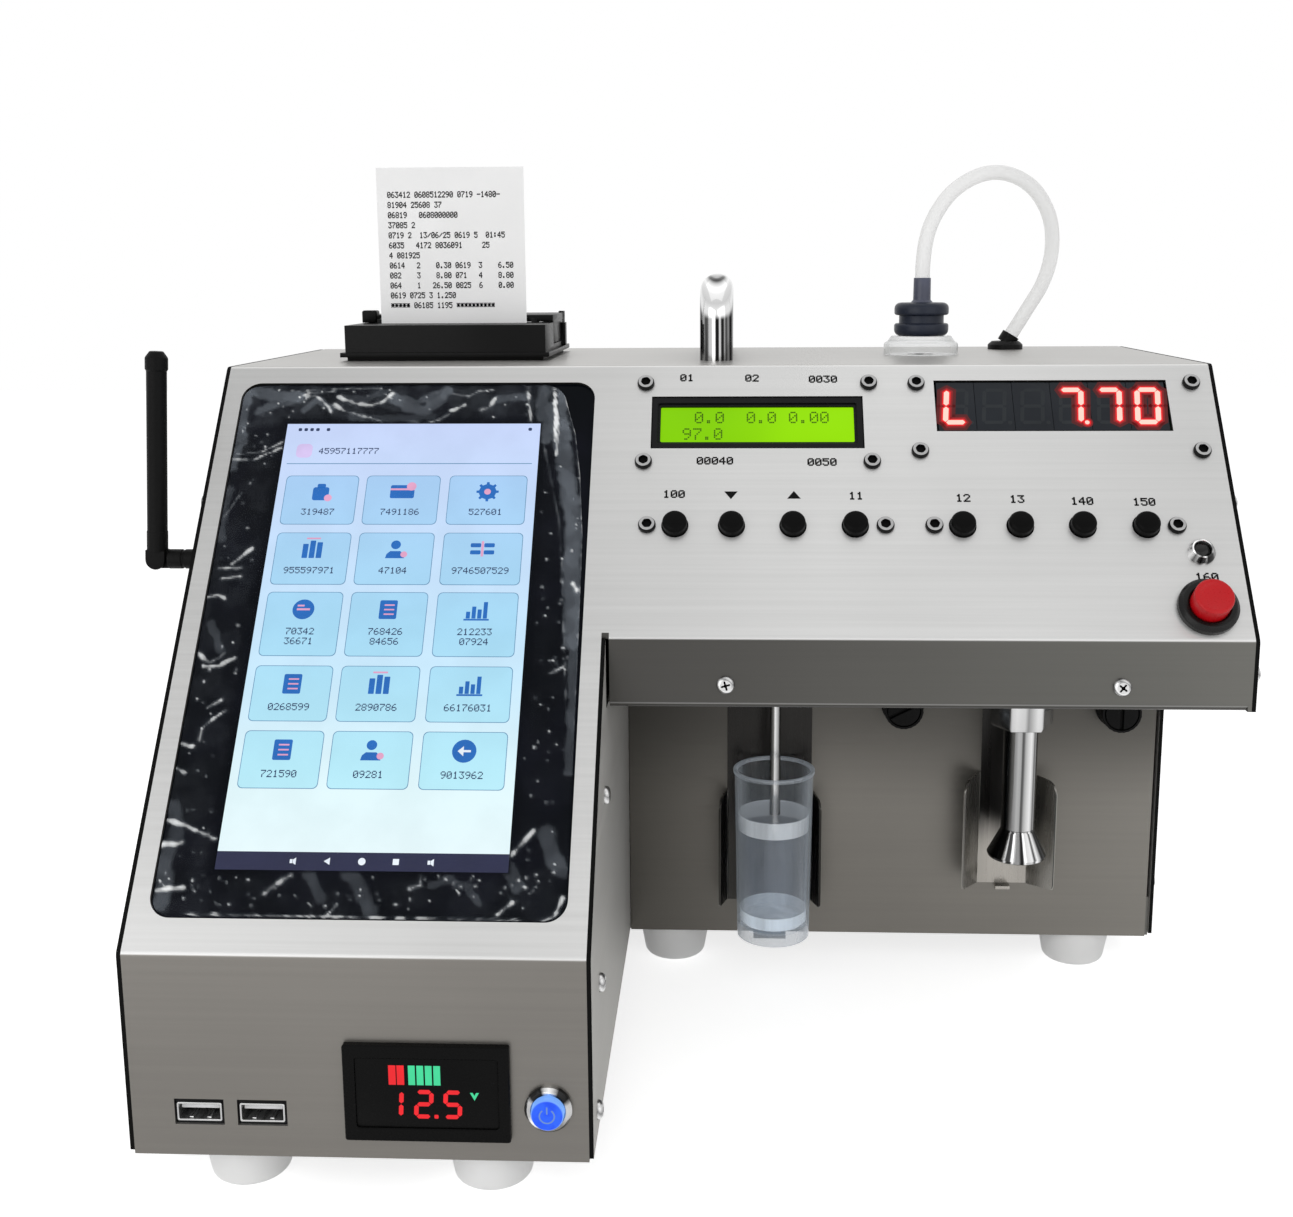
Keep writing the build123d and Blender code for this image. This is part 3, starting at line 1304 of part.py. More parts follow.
parts["top_cover"] = make_cover()
make_side_plates()
parts["recess_panel"] = make_recess_panel()
parts["base_plate"] = make_base()
parts["rear_panel"] = make_rear_panel()
parts["feet"] = joined([spot * make_foot() for spot in foot_spots])
screws = [spot * screw(board_screw_length) for spot in panel_spots]
screws += [spot * screw(case_screw_length) for spot in case_spots]
screws += [spot * screw(foot_screw_length) for spot in foot_screw_spots]
parts["screws"] = joined(screws)
make_tablet()
make_displays()
parts["panel_boards"] = make_boards()
make_keys()
make_lamp()
make_buttons()
parts["panel_nuts"] = make_nuts()
make_meter()
parts["usb_sockets"] = make_sockets()
parts["printer_frame"] = make_printer()
parts["printer_door"] = make_printer_door()
make_printer_inside()
parts["carry_handle"] = make_handle()
make_inlet()
parts["hose"] = make_hose()
make_sampling()
parts["stirrer_horn"] = make_stirrer()
make_holders()
make_fuses()
make_antenna()
make_inside()

# The origin is under the middle of everything but the hose, at the feet's lowest level
body = Compound([shape for name, shape in parts.items() if name != "hose"])
reach = body.bounding_box()
origin = Vector((reach.min.X + reach.max.X) / 2, (reach.min.Y + reach.max.Y) / 2, reach.min.Z)
print("nodes", len(parts), "origin", [round(value, 3) for value in origin], "size", reach.size)

os.makedirs("parts", exist_ok=True)
for name, shape in parts.items():
    export_step(Pos(-origin) * shape, f"parts/{name}.step")
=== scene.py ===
import math
import random

import bmesh
import bpy
import numpy as np
from mathutils import Matrix, Vector, noise


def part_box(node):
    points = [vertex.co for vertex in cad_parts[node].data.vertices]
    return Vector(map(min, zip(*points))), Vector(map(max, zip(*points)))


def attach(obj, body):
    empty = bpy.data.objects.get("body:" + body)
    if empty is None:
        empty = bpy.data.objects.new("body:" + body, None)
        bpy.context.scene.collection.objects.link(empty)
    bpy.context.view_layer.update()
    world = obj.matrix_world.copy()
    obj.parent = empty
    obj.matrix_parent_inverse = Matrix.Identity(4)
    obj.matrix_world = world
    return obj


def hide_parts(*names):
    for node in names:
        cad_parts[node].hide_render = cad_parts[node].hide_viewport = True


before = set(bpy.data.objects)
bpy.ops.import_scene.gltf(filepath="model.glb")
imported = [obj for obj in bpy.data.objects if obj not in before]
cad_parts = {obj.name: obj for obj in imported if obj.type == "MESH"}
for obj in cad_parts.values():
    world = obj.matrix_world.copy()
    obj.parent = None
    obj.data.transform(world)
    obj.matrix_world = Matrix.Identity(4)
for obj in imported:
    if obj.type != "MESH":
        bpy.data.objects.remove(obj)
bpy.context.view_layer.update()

random.seed(7)

# The housing is laid out in millimetres from the cover's lower left front corner
housing = {"width": 332.4, "bay": 132.6, "front": 62.0, "run": 126.0, "top": 219.8, "depth": 250.0,
           "apronFold": 139.6, "recess": 158.8, "side": 1.3, "soffit": 118.6, "floor": -14.5}
corner = Vector(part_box("top_cover")[0])


def place(x, y, z):
    return corner + Vector((x, y, z)) / 1000


def planeFrame(spot, right, up):
    # a flat frame on the housing, with its third axis out of the surface
    across, along = Vector(right).normalized(), Vector(up).normalized()
    turn = Matrix((across, along, across.cross(along))).transposed().to_4x4()
    return Matrix.Translation(place(*spot)) @ turn


slopeRise = housing["top"] - housing["front"]
apronSetback = housing["run"] * (housing["apronFold"] - housing["front"]) / slopeRise
onSlope = planeFrame((0, housing["run"], housing["top"]), (1, 0, 0), (0, housing["run"], slopeRise))
onFront = planeFrame((0, 0, 0), (1, 0, 0), (0, 0, 1))
onApron = planeFrame((0, apronSetback, 0), (1, 0, 0), (0, 0, 1))
onRecess = planeFrame((0, housing["recess"], 0), (1, 0, 0), (0, 0, 1))
onTop = planeFrame((0, 0, housing["top"]), (1, 0, 0), (0, 1, 0))
onLeft = planeFrame((-housing["side"], 0, 0), (0, -1, 0), (0, 0, 1))
onInner = planeFrame((housing["bay"] + housing["side"], 0, 0), (0, 1, 0), (0, 0, 1))
onRight = planeFrame((housing["width"] + housing["side"], 0, 0), (0, 1, 0), (0, 0, 1))
onRear = planeFrame((0, housing["depth"], 0), (1, 0, 0), (0, 0, -1))
onFloor = planeFrame((0, 0, 0), (1, 0, 0), (0, 1, 0))
onUnder = planeFrame((0, 0, 0), (1, 0, 0), (0, -1, 0))
onSoffit = planeFrame((0, 0, housing["soffit"]), (1, 0, 0), (0, 1, 0))

# Camera, solved from the photograph
view = {"spot": (173.4494, -398.6239, 251.1464), "yaw": 0.0461, "pitch": -0.1843, "roll": -0.0061,
        "focal": 1530.6, "middle": (663.97, 557.34), "image": (1293, 1217), "sensor": 36.0}


def makeCamera():
    yaw, pitch, roll = view["yaw"], view["pitch"], view["roll"]
    ahead = Vector((-math.sin(yaw) * math.cos(pitch), math.cos(yaw) * math.cos(pitch), math.sin(pitch)))
    right = Vector((math.cos(yaw), math.sin(yaw), 0))
    up = right.cross(ahead)
    across = right * math.cos(roll) + up * math.sin(roll)
    over = up * math.cos(roll) - right * math.sin(roll)
    lens = bpy.data.cameras.new("camera")
    wide, high = view["image"]
    lens.sensor_fit = "HORIZONTAL"
    lens.sensor_width = view["sensor"]
    lens.lens = view["focal"] / wide * view["sensor"]
    lens.shift_x = (wide / 2 - view["middle"][0]) / wide
    lens.shift_y = (view["middle"][1] - high / 2) / wide
    lens.clip_start = 0.01
    camera = bpy.data.objects.new("camera", lens)
    camera.matrix_world = (Matrix.Translation(place(*view["spot"]))
                           @ Matrix((across, over, -ahead)).transposed().to_4x4())
    bpy.context.scene.collection.objects.link(camera)
    bpy.context.scene.camera = camera


makeCamera()
bpy.context.scene.view_settings.view_transform = "Standard"
print("camera set")


# Finishes
class Wire:
    # a socket that can stand in sums
    def __init__(self, finish, socket):
        self.finish, self.socket = finish, socket

    def maths(self, operation, *values):
        return self.finish.node("ShaderNodeMath", {"operation": operation}, dict(enumerate(values)))

    def __add__(self, other):
        return self.maths("ADD", self, other)

    def __sub__(self, other):
        return self.maths("SUBTRACT", self, other)

    def __mul__(self, other):
        return self.maths("MULTIPLY", self, other)


class Finish:
    # one material, or the world, and the nodes that make it
    def __init__(self, name, owner=None):
        self.owner = owner or bpy.data.materials.new(name)
        self.output = "ShaderNodeOutputWorld" if owner else "ShaderNodeOutputMaterial"
        self.owner.use_nodes = True
        self.tree = self.owner.node_tree
        self.tree.nodes.clear()

    def node(self, kind, settings=None, inputs=None, output=0):
        made = self.tree.nodes.new(kind)
        for key, value in (settings or {}).items():
            if key == "stops":
                while len(made.color_ramp.elements) < len(value):
                    made.color_ramp.elements.new(0.5)
                for element, (spot, tone) in zip(made.color_ramp.elements, value):
                    element.position = spot
                    element.color = (*tone, 1) if hasattr(tone, "__len__") else (tone, tone, tone, 1)
            else:
                setattr(made, key, value)
        for key, value in (inputs or {}).items():
            if isinstance(value, Wire):
                self.tree.links.new(value.socket, made.inputs[key])
            elif hasattr(value, "__len__") and made.inputs[key].type == "RGBA" and len(value) == 3:
                made.inputs[key].default_value = (*value, 1)
            else:
                made.inputs[key].default_value = value
        return Wire(self, made.outputs[output])

    def spot(self, scale=(1, 1, 1)):
        # the place on the piece in metres, stretched for grain
        coords = self.node("ShaderNodeTexCoord", output="Object")
        return self.node("ShaderNodeMapping", inputs={"Vector": coords, "Scale": scale})

    def noise(self, scale, detail=3, roughness=0.5, stretch=(1, 1, 1)):
        return self.node("ShaderNodeTexNoise", inputs={
            "Vector": self.spot(stretch), "Scale": scale, "Detail": detail, "Roughness": roughness})

    def part(self, vector, axis):
        return self.node("ShaderNodeSeparateXYZ", inputs={"Vector": vector}, output=axis)

    def along(self, vector, direction):
        return self.node("ShaderNodeVectorMath", {"operation": "DOT_PRODUCT"},
                         {0: vector, 1: Vector(direction).normalized()}, output="Value")

    def normal(self):
        return self.node("ShaderNodeNewGeometry", output="Normal")

    def facing(self, direction, low, high):
        # 1 where the surface looks along a direction, 0 away from it
        return self.step(self.along(self.normal(), direction), low, high)

    def step(self, value, low, high, bottom=0.0, top=1.0, kind="SMOOTHSTEP"):
        return self.node("ShaderNodeMapRange", {"interpolation_type": kind}, {
            "Value": value, "From Min": low, "From Max": high, "To Min": bottom, "To Max": top})

    def line(self, value, low, high):
        return self.step(value, low, high, kind="LINEAR")

    def mix(self, factor, first, second, kind="MIX"):
        return self.node("ShaderNodeMix", {"data_type": "RGBA", "blend_type": kind, "clamp_factor": True},
                         {0: factor, 6: first, 7: second}, output=2)

    def shaded(self, colour, shade):
        # a colour made lighter or darker by a number
        grey = self.node("ShaderNodeCombineXYZ", inputs={0: shade, 1: shade, 2: shade})
        return self.mix(1.0, colour, grey, "MULTIPLY")

    def ramp(self, value, stops):
        return self.node("ShaderNodeValToRGB", {"stops": stops}, {"Fac": value})

    def bump(self, height, strength, distance):
        return self.node("ShaderNodeBump", inputs={
            "Height": height, "Strength": strength, "Distance": distance})

    def surface(self, **inputs):
        named = {key.replace("_", " "): value for key, value in inputs.items()}
        return self.close(self.node("ShaderNodeBsdfPrincipled", inputs=named))

    def close(self, shader):
        end = self.tree.nodes.new(self.output)
        self.tree.links.new(shader.socket, end.inputs["Surface"])
        return self.owner


def brushed(f, tone, grain, metal, rough, **more):
    # rolled and brushed sheet: fine streaks along the grain, soft clouds and a light skin
    streaks = f.noise(1, 4, 0.6, grain)
    specks = f.noise(2600, 2)
    clouds = f.noise(9, 2)
    wear = f.step(clouds, 0.3, 0.7, 0.94, 1.05) * f.step(streaks, 0.2, 0.8, 0.95, 1.04)
    return f.surface(Base_Color=f.shaded(tone, wear), Metallic=metal,
                     Roughness=f.step(streaks, 0.2, 0.8, rough, rough + 0.1) + specks * 0.05,
                     Normal=f.bump(streaks + specks * 0.4, 0.05, 0.0002), **more)


slopeOut = (0, -slopeRise, housing["run"])
# Cover tones set by the way each face looks, as painted light and shade: slope and top lit, front and apron shaded,
# folds a painted highlight, underside painted shade
cover = {"front": (0.181, 0.171, 0.156), "apronLeft": (0.055, 0.053, 0.049),
         "apronRight": (0.121, 0.119, 0.109), "slopeLow": (0.58, 0.58, 0.575),
         "slopeHigh": (0.50, 0.50, 0.495), "top": (0.478, 0.469, 0.451), "side": (0.20, 0.195, 0.185),
         "rear": (0.30, 0.29, 0.27), "fold": (0.80, 0.80, 0.79), "under": (0.05, 0.048, 0.044), "grain": (6, 700, 700)}


def coverFinish():
    # painted light and shade: lighter where it looks up, darker on the front faces, with painted highlights on the
    # folds between
    f = Finish("coverSteel")
    spot = f.spot()
    x, y, z = (f.part(spot, axis) for axis in range(3))
    # painted shade: the apron darker towards the left, the slope darker on the left and a little darker again at the
    # right
    apron = f.mix(f.line(x, place(140, 0, 0).x, place(330, 0, 0).x), cover["apronLeft"], cover["apronRight"])
    front = f.mix(f.step(y, place(0, 10, 0).y, place(0, 40, 0).y), cover["front"], apron)
    slope = f.mix(f.step(z, place(0, 0, 90).z, place(0, 0, 210).z), cover["slopeLow"], cover["slopeHigh"])
    slope = f.shaded(slope, f.step(x, place(60, 0, 0).x, place(200, 0, 0).x, 0.89, 1.15))
    slope = f.shaded(slope, f.step(x, place(270, 0, 0).x, place(330, 0, 0).x, 1.0, 0.95))
    top = f.shaded(cover["top"], 0.96)
    tone = f.mix(f.facing((0, -1, 0), 0.90, 0.995), cover["fold"], front)
    tone = f.mix(f.facing(slopeOut, 0.90, 0.995), tone, slope)
    tone = f.mix(f.facing((0, 0, 1), 0.85, 0.99), tone, top)
    for direction, name, low, high in (((1, 0, 0), "side", 0.85, 0.99), ((-1, 0, 0), "side", 0.85, 0.99),
                                       ((0, 1, 0), "rear", 0.85, 0.99), ((0, 0, -1), "under", 0.10, 0.50)):
        tone = f.mix(f.facing(direction, low, high), tone, cover[name])
    return brushed(f, tone, cover["grain"], 0.72, 0.30)


# Recess tones, the left one darker as painted shade near the inner wall
recess = {"left": (0.078, 0.073, 0.064), "middle": (0.172, 0.162, 0.145), "right": (0.178, 0.169, 0.152),
          "edge": (0.10, 0.096, 0.09)}


def recessFinish():
    # painted shade: darker towards the left wall and under the soffit
    f = Finish("recessSteel")
    spot = f.spot()
    x, z = f.part(spot, 0), f.part(spot, 2)
    tone = f.mix(f.step(x, place(128, 0, 0).x, place(215, 0, 0).x), recess["left"], recess["middle"])
    tone = f.mix(f.line(x, place(215, 0, 0).x, place(325, 0, 0).x), tone, recess["right"])
    # painted shadow under the soffit
    tone = f.shaded(tone, f.step(z, place(0, 0, 48).z, place(0, 0, 92).z, 1.0, 0.42))
    tone = f.mix(f.facing((0, -1, 0), 0.85, 0.99), recess["edge"], tone)
    return brushed(f, tone, (6, 500, 500), 0.72, 0.32)


def sideFinish():
    # side plates: brushed faces, and painted shadow on the cut edges
    f = Finish("sideSteel")
    across = f.facing((1, 0, 0), 0.90, 0.99) + f.facing((-1, 0, 0), 0.90, 0.99)
    # painted shadow on every face that does not look sideways
    tone = f.mix(across, (0.006, 0.006, 0.006), (0.62, 0.61, 0.585))
    return brushed(f, tone, (700, 6, 700), 0.55, 0.42, Specular_IOR_Level=0.15,
                   Specular_Tint=(0.25, 0.25, 0.24))


def holderFinish(name, middle, half, tones, turnAt):
    # folded holder of polished sheet: painted reflections give its back, left wing and right wing different tones, and
    # its eased edges a painted highlight
    f = Finish(name)
    spot = f.spot()
    x, z = f.part(spot, 0), f.part(spot, 2)
    drift = f.noise(1, 3, 0.5, (400, 400, 14))
    back = f.mix(f.step(z + drift * 0.012, place(0, 0, turnAt - 5).z, place(0, 0, turnAt + 15).z),
                 tones["backLow"], tones["backHigh"])
    left = f.mix(f.step(z + drift * 0.016, place(0, 0, turnAt).z, place(0, 0, turnAt + 22).z),
                 tones["left"], tones["leftHigh"])
    onBack = f.step(x, place(middle - half - 0.9, 0, 0).x, place(middle - half, 0, 0).x)
    onRightWing = f.step(x, place(middle + half, 0, 0).x, place(middle + half + 0.9, 0, 0).x)
    tone = f.mix(onRightWing, f.mix(onBack, left, back), tones["right"])
    flatness = f.node("ShaderNodeVectorMath", {"operation": "ABSOLUTE"}, {0: f.normal()})
    most = f.part(flatness, 0).maths("MAXIMUM", f.part(flatness, 0), f.part(flatness, 1))
    # painted highlight on the eased edges
    tone = f.mix(f.step(most, 0.84, 0.90), tones["edge"], tone)
    return brushed(f, tone, (500, 500, 6), 0.75, 0.20)


def plainFinish(name, colour, rough, speck=900, depth=0.00008, strength=0.25, vary=0.12, shine=0.5, **more):
    # moulded, cast or printed material with a fine skin and slight tone changes
    f = Finish(name)
    skin = f.noise(speck, 4)
    shade = f.step(f.noise(60, 3), 0.3, 0.7, 1 - vary, 1 + vary)
    return f.surface(Base_Color=f.shaded(colour, shade), Specular_IOR_Level=shine,
                     Roughness=f.step(skin, 0.3, 0.7, rough - 0.06, rough + 0.06),
                     Normal=f.bump(skin, strength, depth), **more)


def chromeFinish(name, stops, direction, rough, axis=None, reach=None, up=None):
    # polished metal with painted reflection bands that follow the turn of the surface, and also the distance from an
    # axis if one is given; up has the painted reflection bands of what looks upwards
    f = Finish(name)
    normal = f.normal()
    value = f.along(normal, direction) * 0.5 + 0.47 + f.noise(35, 2) * 0.06
    if axis is not None:
        offset = (f.part(f.spot(), 0) - place(axis, 0, 0).x) * (500 / reach) + 0.5
        value = value * 0.55 + offset * 0.45
    tone = f.ramp(value, stops)
    if up:
        tone = f.mix(f.step(f.part(normal, 2), 0.10, 0.22), tone, f.ramp(f.part(normal, 2), up))
    smear = f.noise(400, 3)
    return f.surface(Base_Color=tone, Metallic=0.92, Roughness=f.step(smear, 0.3, 0.7, rough, rough + 0.05),
                     Normal=f.bump(smear, 0.03, 0.0001))


def ringFinish(name, middle, across, over, stops):
    # polished ring whose painted dark and bright reflection blocks follow the angle about its middle
    f = Finish(name)
    away = f.node("ShaderNodeVectorMath", {"operation": "SUBTRACT"}, {0: f.spot(), 1: middle})
    high, wide = f.along(away, over), f.along(away, across)
    angle = high.maths("ARCTAN2", high, wide) * (1 / math.tau) + 0.5
    smear = f.noise(500, 3)
    return f.surface(Base_Color=f.ramp(angle + smear * 0.02, stops), Metallic=0.92,
                     Roughness=f.step(smear, 0.3, 0.7, 0.12, 0.17), Normal=f.bump(smear, 0.03, 0.0001))


def litFinish(name, colour, strength, vary=0.06):
    # a lit surface whose light drifts a little over its area
    f = Finish(name)
    drift = f.step(f.noise(120, 2), 0.3, 0.7, 1 - vary, 1 + vary)
    return f.surface(Base_Color=(0.02, 0.02, 0.02), Roughness=0.4, Specular_IOR_Level=0.1,
                     Emission_Color=f.shaded(colour, drift), Emission_Strength=strength)


# Where the lit picture begins on the slope and how high it is, in metres
pictureSpan = {"foot": -0.178, "high": 0.156}


def pictureFinish(name, stops):
    # a lit picture whose tone changes from its foot to its head
    f = Finish(name)
    height = f.along(f.spot(), onSlope.col[1].xyz)
    foot = (onSlope @ Vector((0, pictureSpan["foot"], 0))).dot(onSlope.col[1].xyz)
    tone = f.ramp(f.line(height, foot, foot + pictureSpan["high"]), stops)
    return f.surface(Base_Color=(0.02, 0.02, 0.02), Roughness=0.3, Specular_IOR_Level=0.1,
                     Emission_Color=f.shaded(tone, f.step(f.noise(60, 3), 0.3, 0.7, 0.97, 1.03)),
                     Emission_Strength=0.98)


def lcdFinish():
    # the lit green panel, a little dimmer on the left
    f = Finish("displayGreen")
    glow = f.step(f.noise(25, 2), 0.3, 0.7, 0.94, 1.05)
    tone = f.mix(f.step(f.part(f.spot(), 0), place(158, 0, 0).x, place(200, 0, 0).x), (0.23, 0.63, 0.002),
                 (0.30, 0.75, 0.002))
    return f.surface(Base_Color=(0.02, 0.05, 0.002), Roughness=0.3, Specular_IOR_Level=0.04,
                     Emission_Color=f.shaded(tone, glow), Emission_Strength=0.95)


def powerFinish():
    # lit blue cap with a paler rim
    f = Finish("powerBlue")
    tone = f.mix(f.step(f.noise(260, 3), 0.35, 0.65), (0.010, 0.07, 0.80), (0.025, 0.13, 0.92))
    tone = f.mix(f.facing((0, -1, 0), 0.55, 0.93), (0.22, 0.46, 0.95), tone)
    return f.surface(Base_Color=(0.01, 0.04, 0.3), Roughness=0.3, Specular_IOR_Level=0.2, Emission_Color=tone,
                     Emission_Strength=0.85)


def veilFinish(name, colour, thin, edge, rough=0.08, streak=0.0, glow=0.0):
    # clear plastic or water that shows mostly at its rims, with upright streaks and, where glow is given, a painted
    # glow of its own tone
    f = Finish(name)
    rim = f.node("ShaderNodeLayerWeight", inputs={"Blend": 0.35}, output="Facing")
    weight = f.step(rim, 0.15, 0.95, thin, edge) + f.step(f.noise(90, 3), 0.5, 0.8, 0.0, 0.03)
    tone = f.shaded(colour, f.step(f.noise(1, 2, 0.5, (260, 260, 6)), 0.3, 0.7, 1 - streak, 1 + streak))
    shell = f.node("ShaderNodeBsdfPrincipled", inputs={
        "Base Color": tone, "Roughness": rough, "Coat Weight": 0.3, "Emission Color": tone,
        "Emission Strength": glow})
    clear = f.node("ShaderNodeBsdfTransparent")
    return f.close(f.node("ShaderNodeMixShader", inputs={0: weight, 1: clear, 2: shell}))


def tabletFinish():
    # dark glass with faint smears
    f = Finish("tabletGlass")
    smear = f.noise(45, 4)
    tone = f.mix(f.step(smear, 0.35, 0.75), (0.002, 0.003, 0.005), (0.005, 0.006, 0.011))
    return f.surface(Base_Color=tone, Roughness=f.step(smear, 0.3, 0.7, 0.08, 0.14), Specular_IOR_Level=0.04)


def filmFinish():
    # clear film with painted highlights along its folds and a painted grey sheen on its loose parts
    f = Finish("clearFilm")
    fold = f.node("ShaderNodeAttribute", {"attribute_name": "fold"}, output="Fac")
    milk = f.node("ShaderNodeAttribute", {"attribute_name": "milk"}, output="Fac")
    grain = f.step(f.noise(160, 3), 0.3, 0.7, 0.85, 1.12)
    alpha = (fold * 0.95 + milk * 0.60 + 0.004) * grain
    tone = f.mix(f.step(fold, 0.04, 0.5), (0.24, 0.27, 0.31), (0.95, 0.97, 0.98))
    return f.surface(Base_Color=tone, Roughness=0.28, Alpha=alpha.maths("MINIMUM", alpha, 1.0),
                     Specular_IOR_Level=0.10)


# Painted reflections: bands of light and dark along a turned or polished surface, each a place from 0 to 1 and a tone
handleBands = [(0.0, 0.01), (0.06, 0.02), (0.09, 0.42), (0.13, 0.30), (0.17, 0.05), (0.23, 0.09),
               (0.27, 0.24), (0.36, 0.28), (0.39, 0.95), (0.45, 0.95), (0.48, 0.008), (0.56, 0.008),
               (0.59, 0.45), (0.62, 0.38), (0.65, 0.008), (0.71, 0.008), (0.745, 0.24), (0.79, 0.03),
               (0.86, 0.26), (0.90, 0.008), (0.95, 0.01), (1.0, 0.30)]
handleTop = [(0.0, 0.70), (0.30, 0.80), (0.42, 0.62), (0.60, 0.72), (0.70, 0.95), (0.80, 0.50), (0.86, 0.035),
             (0.90, 0.06), (0.94, 0.45), (1.0, 0.70)]
rodBands = [(0.0, 0.012), (0.14, 0.02), (0.20, 0.16), (0.30, 0.24), (0.36, 0.34), (0.44, 0.30), (0.48, 0.06),
            (0.52, 0.10), (0.56, 0.30), (0.64, 0.48), (0.74, 0.66), (0.80, 0.45), (0.84, 0.10), (0.90, 0.20),
            (0.94, 0.03), (1.0, 0.02)]
coneBands = [(0.0, 0.008), (0.20, 0.01), (0.23, 0.75), (0.26, 0.02), (0.32, 0.03), (0.35, 0.90), (0.38, 0.25),
             (0.45, 0.30), (0.49, 0.01), (0.53, 0.01), (0.56, 0.95), (0.60, 0.45), (0.68, 0.55), (0.72, 0.02),
             (0.76, 0.90), (0.81, 0.40), (0.84, 0.01), (0.93, 0.02), (0.97, 0.35), (1.0, 0.02)]
hexBands = [(0.0, 0.03), (0.12, 0.30), (0.20, 0.08), (0.30, 0.36), (0.42, 0.58), (0.49, 0.50), (0.52, 0.24),
            (0.60, 0.60), (0.74, 0.50), (0.84, 0.22), (0.92, 0.60), (1.0, 0.10)]
softBands = [(0.0, 0.25), (0.25, 0.55), (0.38, 0.16), (0.52, 0.75), (0.66, 0.62), (0.82, 0.20), (0.95, 0.60)]
pipeBands = [(0.0, 0.06), (0.18, 0.20), (0.30, 0.35), (0.42, 0.72), (0.55, 0.50), (0.70, 0.30), (0.86, 0.10),
             (1.0, 0.05)]
powerBlocks = [(0.0, 0.38), (0.06, 0.42), (0.11, 0.92), (0.15, 0.80), (0.19, 0.16), (0.38, 0.20),
               (0.45, 0.46), (0.52, 0.50), (0.565, 0.45), (0.60, 0.012), (0.68, 0.02), (0.71, 0.50),
               (0.75, 0.95), (0.785, 0.60), (0.81, 0.012), (0.90, 0.02), (0.93, 0.45), (1.0, 0.38)]
lampBlocks = [(0.0, 0.85), (0.07, 0.95), (0.13, 0.10), (0.18, 0.40), (0.22, 0.02), (0.27, 0.75),
              (0.31, 0.02), (0.40, 0.05), (0.44, 0.40), (0.52, 0.22), (0.62, 0.45), (0.72, 0.80),
              (0.80, 0.45), (0.90, 0.90), (1.0, 0.85)]
# Painted reflection tones of the two holders: dark on the cup's holder, a light low back on the stirrer's
cupTones = {"backLow": (0.030, 0.028, 0.025), "backHigh": (0.012, 0.011, 0.010),
            "left": (0.035, 0.033, 0.029), "leftHigh": (0.020, 0.019, 0.017),
            "right": (0.016, 0.015, 0.013), "edge": (0.16, 0.155, 0.145)}
stirrerTones = {"backLow": (0.37, 0.35, 0.32), "backHigh": (0.016, 0.015, 0.014),
                "left": (0.15, 0.145, 0.135), "leftHigh": (0.10, 0.095, 0.09),
                "right": (0.030, 0.033, 0.031), "edge": (0.25, 0.24, 0.22)}

